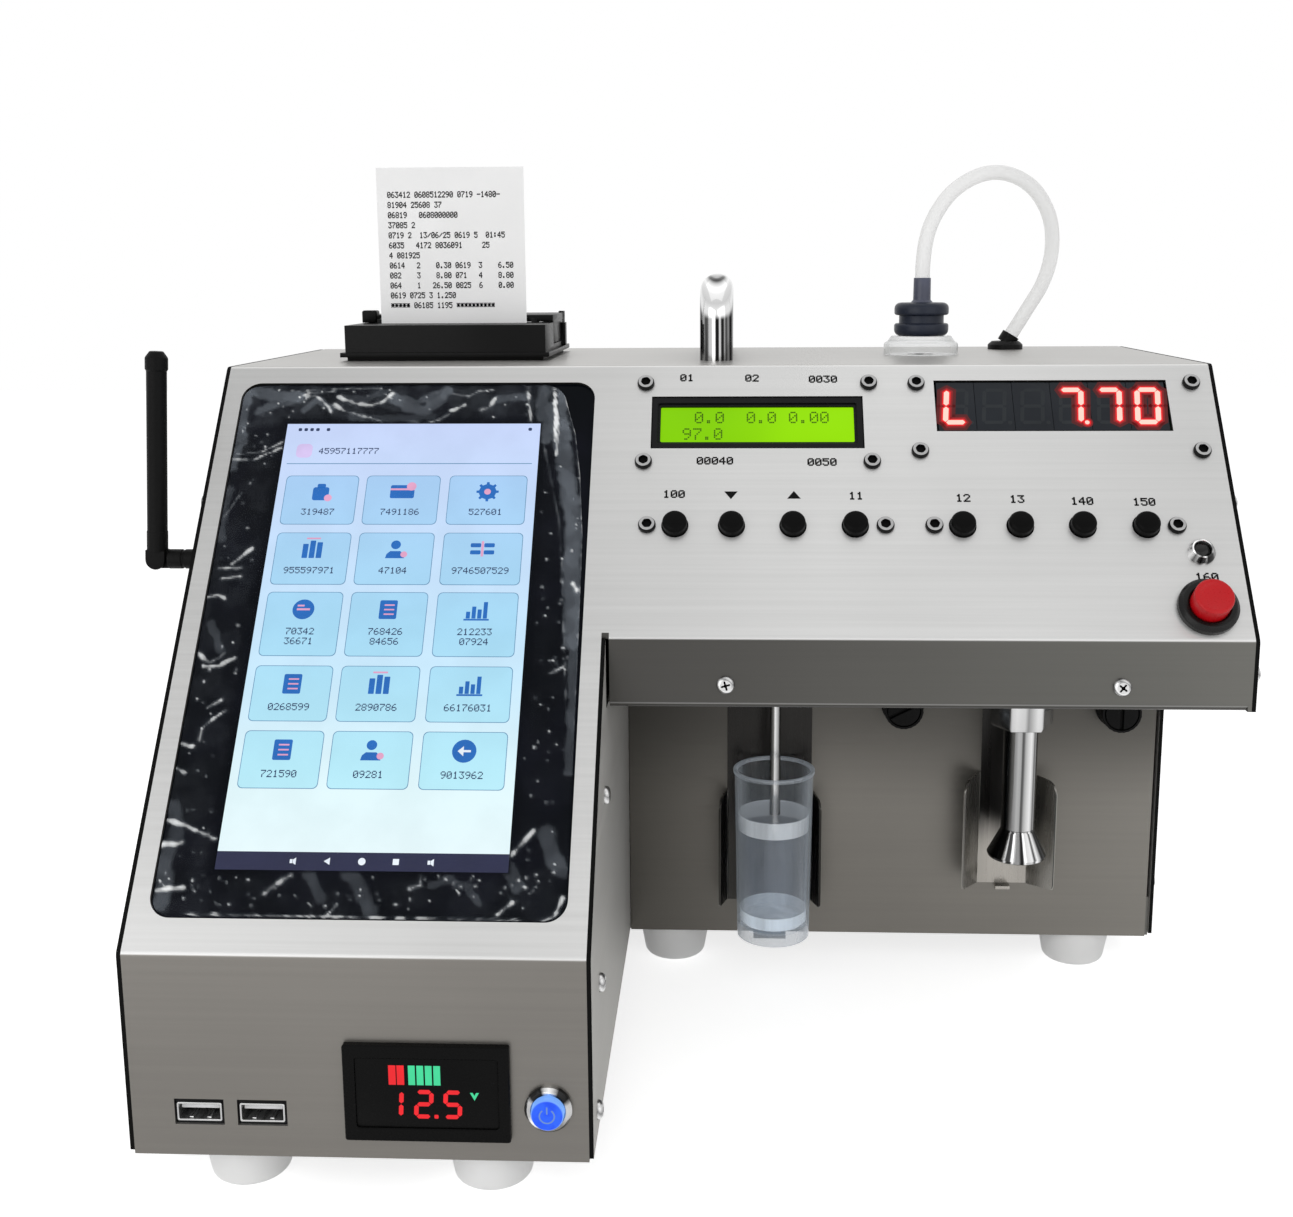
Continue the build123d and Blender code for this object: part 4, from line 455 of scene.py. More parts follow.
# Middles of the round pieces that a finish needs too
lampSpot, powerSpot, pushSpot = (320.1, -71.9), (121.2, 16.9), (319.4, -91.4)
finishes = {
    "cover": coverFinish(), "recess": recessFinish(), "panelSide": sideFinish(),
    "cupHolder": holderFinish("cupHolderSteel", 187.3, 16.3, cupTones, 45),
    "stirrerHolder": holderFinish("stirrerHolderSteel", 275.7, 9.4, stirrerTones, 42),
    "chrome": chromeFinish("chrome", handleBands, (1, 0, 0), 0.08, up=handleTop),
    "rod": chromeFinish("stirrerRod", rodBands, (1, 0, 0), 0.10, 276.5, 6.05),
    "cone": chromeFinish("stirrerCone", coneBands, (1, 0, 0), 0.10),
    "hexagon": chromeFinish("stirrerHexagon", hexBands, (1, 0, 0), 0.14, 276.5, 11.3),
    "powerRing": ringFinish("powerRingSteel", place(powerSpot[0], 0, powerSpot[1]), (1, 0, 0), (0, 0, 1),
                            powerBlocks),
    "lampRing": ringFinish("lampRingSteel", onSlope @ Vector((lampSpot[0] / 1000, lampSpot[1] / 1000, 0)),
                           (1, 0, 0), onSlope.col[1].xyz, lampBlocks),
    "screw": chromeFinish("screwSteel", softBands, (0.5, -0.4, 0.8), 0.22),
    "ringGrey": chromeFinish("screwRing", [(0.0, 0.40), (0.4, 0.62), (0.7, 0.50), (1.0, 0.34)],
                             (0.2, -0.5, 0.8), 0.3),
    # painted shadow for the sides of the socket heads, and painted shade for the hollows of screws and sockets
    "screwSideShadow": plainFinish("screwSideShadow", (0.008, 0.008, 0.008), 0.4, shine=0.1),
    "hole": plainFinish("holeShade", (0.003, 0.003, 0.003), 0.6, shine=0.05),
    "pipe": chromeFinish("pipeSteel", pipeBands, (1, 0, 0), 0.2),
    "black": plainFinish("blackPlastic", (0.006, 0.006, 0.007), 0.34, speck=1400, shine=0.15),
    "printer": plainFinish("printerPlastic", (0.003, 0.003, 0.003), 0.34, speck=1100, shine=0.10),
    "bezel": plainFinish("displayBezel", (0.006, 0.006, 0.007), 0.4, shine=0.12),
    "key": plainFinish("keyPlastic", (0.003, 0.003, 0.003), 0.36, speck=1500, shine=0.05),
    "antenna": plainFinish("antennaPlastic", (0.004, 0.004, 0.004), 0.45, speck=1200, shine=0.08),
    "stopper": plainFinish("stopperRubber", (0.015, 0.020, 0.036), 0.36, speck=1300, shine=0.25),
    "nozzle": plainFinish("nozzlePlastic", (0.065, 0.072, 0.115), 0.4, speck=1300, vary=0.25),
    "grommet": plainFinish("grommetRubber", (0.003, 0.003, 0.003), 0.42, shine=0.12),
    # a faint painted glow lightens the feet
    "foot": plainFinish("footRubber", (0.94, 0.94, 0.935), 0.5, speck=800, vary=0.02,
                        Emission_Color=(1, 1, 1), Emission_Strength=0.05),
    "pushRing": plainFinish("pushRingPlastic", (0.003, 0.003, 0.003), 0.26, speck=1500, strength=0.1,
                            shine=0.22),
    "pushCap": plainFinish("pushRed", (0.58, 0.003, 0.008), 0.32, speck=1400, vary=0.05, shine=0.3),
    # a faint painted glow lightens the slip
    "paper": plainFinish("receiptPaper", (0.93, 0.93, 0.93), 0.75, speck=2200, vary=0.02, depth=0.00004,
                         shine=0.2, Emission_Color=(1, 1, 1), Emission_Strength=0.10),
    "ink": plainFinish("printInk", (0.010, 0.010, 0.012), 0.6, vary=0.4, shine=0.05),
    "mark": plainFinish("panelInk", (0.006, 0.006, 0.006), 0.6, vary=0.2, shine=0.05),
    "board": plainFinish("boardGreen", (0.02, 0.10, 0.04), 0.45),
    "pump": plainFinish("pumpGrey", (0.18, 0.19, 0.20), 0.5),
    "battery": plainFinish("batteryGrey", (0.05, 0.05, 0.055), 0.5),
    "nut": chromeFinish("nutSteel", softBands, (0.4, -0.5, 0.7), 0.3),
    "socketShell": chromeFinish("socketShellSteel", softBands, (0.3, -0.8, 0.5), 0.2),
    "socketTongue": plainFinish("socketTongue", (0.75, 0.75, 0.76), 0.45),
    "ledOff": plainFinish("digitFace", (0.016, 0.019, 0.024), 0.4, speck=1500, shine=0.15),
    "segmentOff": plainFinish("segmentOff", (0.030, 0.034, 0.038), 0.45, shine=0.1),
    "ledOn": litFinish("segmentOn", (1.0, 0.70, 0.60), 1.0, vary=0.03),
    # painted glow spilling round the lit bars, in three widths
    "ledHalo": litFinish("segmentGlow", (0.85, 0.004, 0.008), 1.0),
    "ledVeil": litFinish("segmentGlowOuter", (0.085, 0.001, 0.002), 1.0, vary=0.2),
    "ledTint": litFinish("segmentGlowMiddle", (0.24, 0.002, 0.005), 1.0, vary=0.2),
    "meterRed": litFinish("meterRed", (0.90, 0.008, 0.016), 1.0),
    "meterGreen": litFinish("meterGreen", (0.05, 0.70, 0.32), 1.0),
    "meter": plainFinish("meterBlack", (0.003, 0.003, 0.003), 0.28, speck=1500, strength=0.1, shine=0.06),
    "lcdInk": plainFinish("displayInk", (0.06, 0.15, 0.004), 0.5, vary=0.2, shine=0.1),
    "lens": plainFinish("lampLens", (0.003, 0.003, 0.003), 0.18, speck=500, strength=0.05, shine=0.3),
    "powerMark": litFinish("powerMark", (0.16, 0.30, 0.70), 0.9),
    "lcd": lcdFinish(), "powerCap": powerFinish(), "tablet": tabletFinish(), "film": filmFinish(),
    "screen": pictureFinish("screenPicture", [
        (0.0, (0.81, 0.95, 0.98)), (0.16, (0.76, 0.94, 0.98)), (0.40, (0.58, 0.82, 0.98)),
        (0.70, (0.56, 0.74, 0.97)), (1.0, (0.57, 0.67, 0.96))]),
    "tile": pictureFinish("tileFace", [
        (0.0, (0.56, 0.90, 0.98)), (0.2, (0.47, 0.83, 0.95)), (0.5, (0.38, 0.70, 0.91)),
        (1.0, (0.39, 0.59, 0.92))]),
    "tileEdge": litFinish("tileEdge", (0.13, 0.30, 0.50), 0.9),
    "signBlue": litFinish("signBlue", (0.006, 0.14, 0.52), 0.95),
    "signPink": litFinish("signPink", (0.84, 0.40, 0.62), 0.9),
    "signPale": litFinish("signPale", (0.66, 0.54, 0.86), 1.0),
    "signInk": litFinish("signInk", (0.012, 0.035, 0.12), 0.9),
    "signWhite": litFinish("signWhite", (0.85, 0.92, 1.0), 0.95),
    "screenBar": litFinish("screenBar", (0.012, 0.015, 0.055), 1.0),
    # the cup, its water and the hose carry a faint painted glow; the water's paler foot and band are painted
    # highlights
    "cup": veilFinish("cupPlastic", (0.54, 0.60, 0.66), 0.05, 0.78, streak=0.12, glow=0.08),
    "cupRim": veilFinish("cupRim", (0.58, 0.64, 0.71), 0.34, 0.9, glow=0.12),
    "water": veilFinish("cupWater", (0.19, 0.22, 0.27), 0.50, 0.85, 0.06, 0.30, 0.06),
    "waterTop": veilFinish("waterTop", (0.40, 0.44, 0.50), 0.42, 0.85, 0.05, glow=0.08),
    "waterBandHighlight": veilFinish("waterBandHighlight", (0.78, 0.83, 0.88), 0.62, 0.80, 0.05, 0.16, 0.26),
    "waterFootHighlight": veilFinish("waterFootHighlight", (0.80, 0.90, 1.0), 0.70, 0.86, 0.05, 0.14, 0.26),
    "inlet": veilFinish("inletPlastic", (0.86, 0.88, 0.88), 0.24, 0.80),
    "hose": veilFinish("hoseSilicone", (0.95, 0.95, 0.945), 0.50, 0.90, 0.25, glow=0.06)}
print("finishes", len(finishes))


# Shape helpers, all in millimetres on one of the frames
def newPiece(name, bm, onFrame, finish, body="housing", *, replaced=None, sharp=32):
    bmesh.ops.remove_doubles(bm, verts=bm.verts, dist=0.0004)
    bmesh.ops.recalc_face_normals(bm, faces=bm.faces)
    mesh = bpy.data.meshes.new(name)
    bm.to_mesh(mesh)
    bm.free()
    mesh.transform(onFrame @ Matrix.Scale(0.001, 4))
    mesh.shade_smooth()
    mesh.set_sharp_from_angle(angle=math.radians(sharp))
    for tone in finish if isinstance(finish, list) else [finish]:
        mesh.materials.append(finishes[tone])
    piece = bpy.data.objects.new(name, mesh)
    bpy.context.scene.collection.objects.link(piece)
    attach(piece, body)
    if replaced:
        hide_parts(replaced)
    return piece


def merge(bm, part, matrix):
    # a finished part joins a larger one, moved by a matrix in millimetres
    bmesh.ops.remove_doubles(part, verts=part.verts, dist=0.0004)
    bmesh.ops.recalc_face_normals(part, faces=part.faces)
    spare = bpy.data.meshes.new("spare")
    part.to_mesh(spare)
    part.free()
    spare.transform(matrix)
    bm.from_mesh(spare)
    bpy.data.meshes.remove(spare)


def eased(points, radius, steps=5):
    # an outline or profile whose corners are rounded, closed only if its ends meet
    closed = points[0] == points[-1]
    spots = [Vector(p) for p in (points[:-1] if closed else points)]
    radii = radius if hasattr(radius, "__len__") else [radius] * len(spots)
    out = []
    for i, spot in enumerate(spots):
        ends = not closed and i in (0, len(spots) - 1)
        before, after = spots[i - 1], spots[(i + 1) % len(spots)]
        if ends or radii[i] <= 0:
            out.append(tuple(spot))
            continue
        a, b = (before - spot), (after - spot)
        half = a.angle(b) / 2
        if half > math.radians(88):
            out.append(tuple(spot))
            continue
        reach = min(radii[i] / math.tan(half), 0.48 * a.length, 0.48 * b.length)
        first, last = spot + a.normalized() * reach, spot + b.normalized() * reach
        bend = reach * math.tan(half)
        middle = spot + (a.normalized() + b.normalized()).normalized() * math.hypot(bend, reach)
        start, end = first - middle, last - middle
        for k in range(steps + 1):
            t = k / steps
            arm = start.slerp(end, t) if start.angle(end) > 1e-4 else start.normalized()
            out.append(tuple(middle + arm * bend))
    if closed:
        out.append(out[0])
    return out


def toned(bm, start, tone):
    # the faces made since a count get a material number
    bm.faces.ensure_lookup_table()
    for face in bm.faces[start:]:
        face.material_index = tone


def ringFaces(bm, rings):
    # faces between rings of points, also where a ring is drawn together in one point
    for low, high in zip(rings, rings[1:]):
        count = len(low)
        for i in range(count):
            j = (i + 1) % count
            corners = [low[i], low[j], high[j], high[i]]
            unique = [v for k, v in enumerate(corners) if v not in corners[:k]]
            if len(unique) > 2:
                bm.faces.new(unique)


def turn(bm, profile, spot=(0, 0), steps=64, tone=0):
    # a turned form about an axis that stands on the frame, from radius and height pairs
    start = len(bm.faces)
    rings = []
    for radius, height in profile:
        if radius < 1e-5:
            rings.append([bm.verts.new((spot[0], spot[1], height))] * steps)
        else:
            rings.append([bm.verts.new((spot[0] + radius * math.cos(math.tau * k / steps),
                                        spot[1] + radius * math.sin(math.tau * k / steps), height))
                          for k in range(steps)])
    ringFaces(bm, rings)
    toned(bm, start, tone)


def box(width, height, corner=0.0, middle=(0, 0), steps=5):
    # the outline of a rectangle with rounded corners, anticlockwise
    w, h = width / 2, height / 2
    raw = [(-w, -h), (w, -h), (w, h), (-w, h), (-w, -h)]
    outline = eased(raw, corner, steps) if corner else raw
    return [(x + middle[0], y + middle[1]) for x, y in outline[:-1]]


def inset(outline, gap):
    # an outline moved inwards by a gap, for anticlockwise outlines
    out = []
    count = len(outline)
    for i in range(count):
        a, b, c = (Vector(outline[(i + k) % count]) for k in (-1, 0, 1))
        one, two = (b - a), (c - b)
        if one.length < 1e-9 or two.length < 1e-9:
            out.append(tuple(b))
            continue
        one, two = one.normalized(), two.normalized()
        n1, n2 = Vector((-one.y, one.x)), Vector((-two.y, two.x))
        out.append(tuple(b + (n1 + n2) * (gap / max(0.2, 1 + n1.dot(n2)))))
    return out


def slab(bm, outline, low, high, edge=0.0, tone=0, bottomEdge=0.0):
    # a plate with eased upper edges
    start = len(bm.faces)
    levels = [(low, bottomEdge)]
    if bottomEdge:
        levels += [(low + bottomEdge * 0.3, bottomEdge * 0.3), (low + bottomEdge, 0)]
    if edge:
        levels += [(high - edge, 0), (high - edge * 0.3, edge * 0.3), (high, edge)]
    else:
        levels += [(high, 0)]
    rings = []
    for height, gap in levels:
        line = inset(outline, gap) if gap else outline
        rings.append([bm.verts.new((x, y, height)) for x, y in line])
    ringFaces(bm, rings)
    bm.faces.new(rings[-1])
    bm.faces.new(rings[0][::-1])
    toned(bm, start, tone)


def flat(bm, outline, height):
    bm.faces.new([bm.verts.new((x, y, height)) for x, y in outline])


def ringPlate(bm, outer, inner, low, high, edge=0.0, tone=0):
    # a frame between two outlines of the same number of points
    start = len(bm.faces)
    rings = [[bm.verts.new((x, y, z)) for x, y in line] for line, z in (
        (inner, low), (outer, low), (outer, high - edge), (inset(outer, edge), high),
        (inset(inner, -edge), high), (inner, high - edge), (inner, low))]
    ringFaces(bm, rings)
    toned(bm, start, tone)


def swept(bm, points, radius, steps):
    # a round bar along close points in the frame
    spots = [Vector(p) for p in points]
    side = None
    rings = []
    for i, spot in enumerate(spots):
        ahead = (spots[min(i + 1, len(spots) - 1)] - spots[max(i - 1, 0)]).normalized()
        if side is None:
            side = ahead.orthogonal().normalized()
        side = (side - ahead * side.dot(ahead)).normalized()
        over = ahead.cross(side)
        rings.append([bm.verts.new(spot + (side * math.cos(math.tau * k / steps)
                                           + over * math.sin(math.tau * k / steps)) * radius)
                      for k in range(steps)])
    ringFaces(bm, rings)
    bm.faces.new(rings[0][::-1])
    bm.faces.new(rings[-1])


def eased3d(points, radius, steps):
    # a line in space whose corners are rounded
    out = [Vector(points[0])]
    for before, spot, after in zip(points, points[1:], points[2:]):
        spot = Vector(spot)
        a, b = (Vector(before) - spot).normalized(), (Vector(after) - spot).normalized()
        half = a.angle(b) / 2
        reach = radius / math.tan(half)
        middle = spot + (a + b).normalized() * (radius / math.sin(half))
        start, end = spot + a * reach - middle, spot + b * reach - middle
        out += [middle + start.slerp(end, k / steps) * radius for k in range(steps + 1)]
    return out + [Vector(points[-1])]


easing = {"segments": 2, "angle": 28, "sharp": 30}


def softened(node, finish, width, body="housing"):
    # a part of the frame with its edges eased as pressed or moulded ones are
    bm = bmesh.new()
    bm.from_mesh(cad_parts[node].data)
    bmesh.ops.remove_doubles(bm, verts=bm.verts, dist=0.000002)
    bmesh.ops.dissolve_limit(bm, angle_limit=math.radians(1.0), verts=bm.verts, edges=bm.edges)
    mesh = bpy.data.meshes.new(node + "Eased")
    bm.to_mesh(mesh)
    bm.free()
    mesh.materials.clear()
    mesh.materials.append(finishes[finish])
    piece = bpy.data.objects.new(node + "Eased", mesh)
    bpy.context.scene.collection.objects.link(piece)
    ease = piece.modifiers.new("edges", "BEVEL")
    ease.width, ease.segments, ease.limit_method = width / 1000, easing["segments"], "ANGLE"
    ease.angle_limit = math.radians(easing["angle"])
    ease.use_clamp_overlap = True
    bpy.context.view_layer.update()
    shaped = piece.evaluated_get(bpy.context.evaluated_depsgraph_get())
    done = bpy.data.meshes.new_from_object(shaped)
    piece.modifiers.clear()
    piece.data = done
    done.shade_smooth()
    done.set_sharp_from_angle(angle=math.radians(easing["sharp"]))
    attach(piece, body)
    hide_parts(node)
    return piece


def dress(finish, *nodes):
    # parts of the frame keep their shape and get their finish
    for node in nodes:
        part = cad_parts[node]
        if not part.material_slots:
            part.data.materials.append(finishes[finish])
        for slot in part.material_slots:
            slot.material = finishes[finish]


# Hose, a free silicone tube from the nozzle to the grommet
hose = {"radius": 2.8, "length": 0.1407,
        "turns": [(244.6, 193.6, 248.4), (244.6, 193.6, 258.6), (248.0, 194.8, 271.0), (257.0, 198.6, 282.6),
                  (271.6, 205.0, 288.8), (286.6, 212.8, 285.0), (296.6, 219.6, 273.6),
                  (299.6, 225.0, 259.6), (297.2, 228.2, 246.4), (291.2, 229.6, 236.0),
                  (285.0, 230.0, 225.6)]}


def makeHose():
    line = bpy.data.curves.new("hoseLine", "CURVE")
    line.dimensions = "3D"
    spline = line.splines.new("NURBS")
    spline.points.add(len(hose["turns"]) - 1)
    for point, spot in zip(spline.points, hose["turns"]):
        point.co = (*place(*spot), 1)
    spline.order_u = 3
    spline.use_endpoint_u = True
    line.bevel_depth = hose["radius"] / 1000
    line.bevel_resolution = 8
    line.resolution_u = 16
    line.use_fill_caps = True
    line.materials.append(finishes["hose"])
    piece = bpy.data.objects.new("hoseTube", line)
    bpy.context.scene.collection.objects.link(piece)
    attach(piece, "housing")
    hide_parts("hose")


makeHose()
print("hose laid")

# Sheets of the housing, and the inner parts behind them
dress("cover", "top_cover", "base_plate", "rear_panel")
dress("panelSide", "left_side_panel", "inner_side_panel", "right_side_panel")
dress("recess", "recess_panel")
dress("black", "tablet_body", "tablet_screen", "platen_roller")
dress("board", "panel_boards", "main_board")
dress("pump", "pump")
dress("battery", "battery_pack")
dress("paper", "paper_roll")
dress("nut", "panel_nuts")
dress("tablet", "tablet_glass")

# Screws: socket heads on the slope with a light ring and painted shadow round their sides, bright cross pan heads with
# painted reflection bands elsewhere, and painted shade in every recess
screws = {"head": 2.85, "rise": 1.7, "socket": 1.7, "sunk": 1.0, "shank": 1.5, "panelLength": 11.0,
          "caseLength": 4.0, "footLength": 8.0, "footSunk": 5.5, "steps": 40,
          "displays": ((181.25, -23.0, 37.5, 15.5), (280.15, -21.1, 45.55, 13.35)),
          "keyRows": (183.8, 275.7), "keyEnds": 38.2, "keyLine": -62.5,
          "left": ((13.3, 8.8), (25.6, 43.0), (51.5, 92.4), (98.0, 176.7), (133.0, 213.6),
                   (243.6, 213.6), (243.6, 8.8)),
          "inner": ((13.3, 8.8), (25.6, 43.0), (51.5, 92.4)),
          "right": ((66.5, 128.3), (98.0, 176.7), (133.0, 213.6), (243.6, 213.6), (165.4, 19.9),
                    (243.6, 8.8)),
          "apron": ((171.1, 125.0), (292.8, 125.0)),
          "rear": [(x, z) for x in (6.4, 166.2, 326.0) for z in (15.4, 212.2)]}
footSpots = ((28.4, 17.8), (102.0, 17.8), (150.6, 173.6), (307.2, 173.6), (28.4, 232.0), (307.2, 232.0))


def screwAt(bm, onFrame, x, y, length, dark=False, base=0.0):
    # one screw with a domed head and a driven recess, in the piece's own millimetres
    head, rise, deep = screws["head"], screws["rise"], screws["sunk"]
    part = bmesh.new()
    top, steps = base + rise, screws["steps"]
    shank = [(0, base - length), (screws["shank"], base - length), (screws["shank"], base), (head, base)]
    if dark:
        # the side of a socket head is painted shadow, its top ring light
        turn(part, shank + [(head, base + rise * 0.5), (2.66, base + rise * 0.8), (2.46, top - 0.05)],
             steps=steps, tone=1)
        turn(part, [(2.46, top - 0.05), (2.30, top), (screws["socket"], top)], steps=steps, tone=2)
    else:
        turn(part, shank + [(head, base + rise * 0.35), (head * 0.93, base + rise * 0.66),
                            (head * 0.78, base + rise * 0.88), (head * 0.62, top), (screws["socket"], top)],
             steps=steps)
    outline = []
    for k in range(steps):
        angle = math.tau * k / steps
        if dark:
            radius = screws["socket"] * (1.0 - 0.06 * (0.5 - 0.5 * math.cos(6 * angle)))
        else:
            # a cross: deep between its four arms
            radius = screws["socket"] * (0.36 + 0.60 * max(0.0, math.cos(4 * angle)) ** 0.6)
        outline.append((radius * math.cos(angle), radius * math.sin(angle)))
    rim = [part.verts.new((screws["socket"] * math.cos(math.tau * k / steps),
                           screws["socket"] * math.sin(math.tau * k / steps), top)) for k in range(steps)]
    edge = [part.verts.new((px * 0.97, py * 0.97, top)) for px, py in outline]
    floor = [part.verts.new((px * 0.9, py * 0.9, top - deep)) for px, py in outline]
    start = len(part.faces)
    ringFaces(part, [rim, edge])
    toned(part, start, 2 if dark else 0)
    # painted shade on the walls and floor of the recess
    start = len(part.faces)
    ringFaces(part, [edge, floor])
    part.faces.new(floor)
    toned(part, start, 3)
    spin = random.uniform(0, math.pi / 2)
    move = onFloor.inverted() @ onFrame @ Matrix.Translation((x / 1000, y / 1000, 0))
    move.translation *= 1000
    merge(bm, part, move @ Matrix.Rotation(spin, 4, "Z"))


def makeScrews():
    bm = bmesh.new()
    panel = [(x + i * wide, y + j * high) for x, y, wide, high in screws["displays"]
             for i in (-1, 1) for j in (-1, 1)]
    panel += [(middle + i * screws["keyEnds"], screws["keyLine"]) for middle in screws["keyRows"]
              for i in (-1, 1)]
    for x, y in panel:
        screwAt(bm, onSlope, x, y, screws["panelLength"], dark=True)
    for y, z in screws["left"]:
        screwAt(bm, onLeft, -y, z, screws["caseLength"])
    for y, z in screws["inner"]:
        screwAt(bm, onInner, y, z, screws["caseLength"])
    for y, z in screws["right"]:
        screwAt(bm, onRight, y, z, screws["caseLength"])
    for x, z in screws["apron"]:
        screwAt(bm, onApron, x, z, screws["caseLength"])
    for x, z in screws["rear"]:
        screwAt(bm, onRear, x, -z, screws["caseLength"])
    for x, y in footSpots:
        screwAt(bm, onUnder, x, -y, screws["footLength"], base=screws["footSunk"])
    newPiece("screwSet", bm, onFloor, ["screw", "screwSideShadow", "ringGrey", "hole"], replaced="screws")


makeScrews()
print("screws set")


# Feet
def makeFeet():
    bm = bmesh.new()
    foot = {"top": 14.0, "base": 11.4, "height": 14.5, "bore": 4.0, "boreDepth": 9.0, "round": 2.5}
    height = foot["height"]
    skin = eased([(0, 0), (foot["top"], 0), (foot["base"], -height), (foot["bore"], -height),
                  (foot["bore"], foot["boreDepth"] - height), (0, foot["boreDepth"] - height)],
                 [0, 0.5, foot["round"], 0.5, 0.2, 0])
    for x, y in footSpots:
        turn(bm, skin, (x, y), 56)
    newPiece("footSet", bm, onFloor, "foot", replaced="feet")


makeFeet()


# Carrying handle
def makeHandle():
    handle = {"x": 167.2, "front": 158.0, "span": 76.0, "rise": 24.6, "radius": 6.0, "bend": 12.0}
    bm = bmesh.new()
    x, front, rear = handle["x"], handle["front"], handle["front"] + handle["span"]
    swept(bm, eased3d([(x, front, 0), (x, front, handle["rise"]), (x, rear, handle["rise"]), (x, rear, 0)],
                      handle["bend"], 20), handle["radius"], 56)
    newPiece("handleBar", bm, onTop, "chrome", replaced="carry_handle")


makeHandle()


# Keys, each a domed cap on a flange
def makeKeys():
    key = {"rows": (183.8, 275.7), "shifts": (-29.2, -11.0, 8.7, 28.6), "line": -62.5, "radius": 4.0,
           "rise": 3.6, "dome": 0.3, "flange": 5.2, "stem": 1.7, "under": -1.5, "seat": -2.4, "foot": -5.4}
    radius, rise, stem, seat = key["radius"], key["rise"], key["stem"], key["seat"]
    spots = [middle + shift for middle in key["rows"] for shift in key["shifts"]]
    for number, x in enumerate(spots, 1):
        bm = bmesh.new()
        cap = eased([(radius, key["under"]), (radius, rise), (0, rise)], [0, 1.3, 0], 7)
        cap = [(r, h + key["dome"] * (1 - (r / radius) ** 2) if h > 3 else h) for r, h in cap]
        root = [(0, key["foot"]), (stem, key["foot"]), (stem, seat), (key["flange"], seat),
                (key["flange"], key["under"])]
        turn(bm, root + cap, (x, key["line"]), 48)
        newPiece(f"keyCap{number}", bm, onSlope, "key", f"key_{number}_body", replaced=f"key_{number}")


makeKeys()


# Push button, lamp and power button
def makeButtons():
    push = {"barrel": 7.9, "depth": 20.0, "flange": 9.3, "flangeRise": 2.0, "lip": 8.1, "rise": 3.2,
            "bore": 6.15, "root": 7.0, "cap": 6.0, "capRise": 8.6}
    bore, rise, root, depth = push["bore"], push["rise"], push["root"], push["depth"]
    bm = bmesh.new()
    barrel = [(0, -depth), (push["barrel"], -depth), (push["barrel"], 0)]
    rim = [(push["flange"], 0), (push["flange"], push["flangeRise"]), (push["lip"], rise),
           (bore + 0.5, rise), (bore, rise - 0.4), (bore, -root)]
    turn(bm, barrel + eased(rim, [0, 0.7, 0.8, 0.3, 0.2, 0]), pushSpot, 72)
    newPiece("pushRing", bm, onSlope, "pushRing", replaced="push_bezel")
    bm = bmesh.new()
    rise = push["capRise"]
    wall = eased([(push["cap"], -root), (push["cap"], rise), (4.6, rise)], [0, 0.9, 0], 6)
    dish = [(4.3, rise - 0.08), (3.0, rise - 0.2), (1.5, rise - 0.27), (0, rise - 0.3)]
    turn(bm, [(0, -root)] + wall + dish, pushSpot, 72)
    newPiece("pushButtonCap", bm, onSlope, "pushCap", "push_button", replaced="push_cap")

    lamp = {"bore": 2.7, "barrel": 3.9, "depth": 9.0, "flange": 4.45, "rise": 3.0, "lens": 2.65,
            "lensRise": 2.28}
    bore, depth = lamp["bore"], lamp["depth"]
    bm = bmesh.new()
    barrel = [(bore, -depth), (lamp["barrel"], -depth), (lamp["barrel"], 0)]
    rim = [(lamp["flange"], 0), (4.4, 0.7), (3.35, 2.7), (3.0, lamp["rise"]), (bore, 2.6), (bore, -depth)]
    turn(bm, barrel + eased(rim, [0, 0.3, 0.3, 0.2, 0.2, 0]), lampSpot, 48)
    newPiece("lampRing", bm, onSlope, "lampRing", replaced="lamp_bezel")
    bm = bmesh.new()
    turn(bm, [(0, -depth), (lamp["lens"], -depth), (lamp["lens"], 0.9), (2.5, 1.5), (2.0, 1.95), (1.2, 2.2),
              (0, lamp["lensRise"])], lampSpot, 40)
    newPiece("lampDome", bm, onSlope, "lens", replaced="lamp_lens")

    power = {"barrel": 5.9, "depth": 17.0, "flange": 6.9, "rise": 2.2, "bore": 4.85, "root": 5.0,
             "cap": 4.7, "capRise": 4.6, "markRise": 4.64, "markRing": (1.9, 2.35), "markBar": (0.45, 2.2),
             "markSteps": 40, "markGap": 4}
    bore, rise, root, depth = power["bore"], power["rise"], power["root"], power["depth"]
    bm = bmesh.new()
    barrel = [(0, -depth), (power["barrel"], -depth), (power["barrel"], 0)]
    rim = [(power["flange"], 0), (power["flange"], 1.2), (6.0, rise), (5.1, rise), (bore, 1.9), (bore, -root)]
    turn(bm, barrel + eased(rim, [0, 0.25, 0.3, 0.15, 0.1, 0]), powerSpot, 72)
    newPiece("powerRing", bm, onFront, "powerRing", replaced="power_bezel")
    bm = bmesh.new()
    rise = power["capRise"]
    turn(bm, [(0, -root)] + eased([(power["cap"], -root), (power["cap"], rise), (0, rise)], [0, 0.8, 0], 6),
         powerSpot, 64)
    newPiece("powerButtonCap", bm, onFront, "powerCap", "power_button", replaced="power_cap")
    bm = bmesh.new()
    steps, height = power["markSteps"], power["markRise"]
    small, large = power["markRing"]
    for k in range(power["markGap"], steps - power["markGap"]):
        angles = [math.pi / 2 + math.tau * (k + j) / steps for j in (0, 1)]
        corners = [(r * math.cos(a) + powerSpot[0], r * math.sin(a) + powerSpot[1])
                   for a, r in ((angles[0], small), (angles[0], large), (angles[1], large), (angles[1], small))]
        flat(bm, corners, height)
    flat(bm, box(*power["markBar"], middle=(powerSpot[0], powerSpot[1] + 1.7)), height)
    newPiece("powerMark", bm, onFront, "powerMark", "power_button")


makeButtons()
print("buttons made")


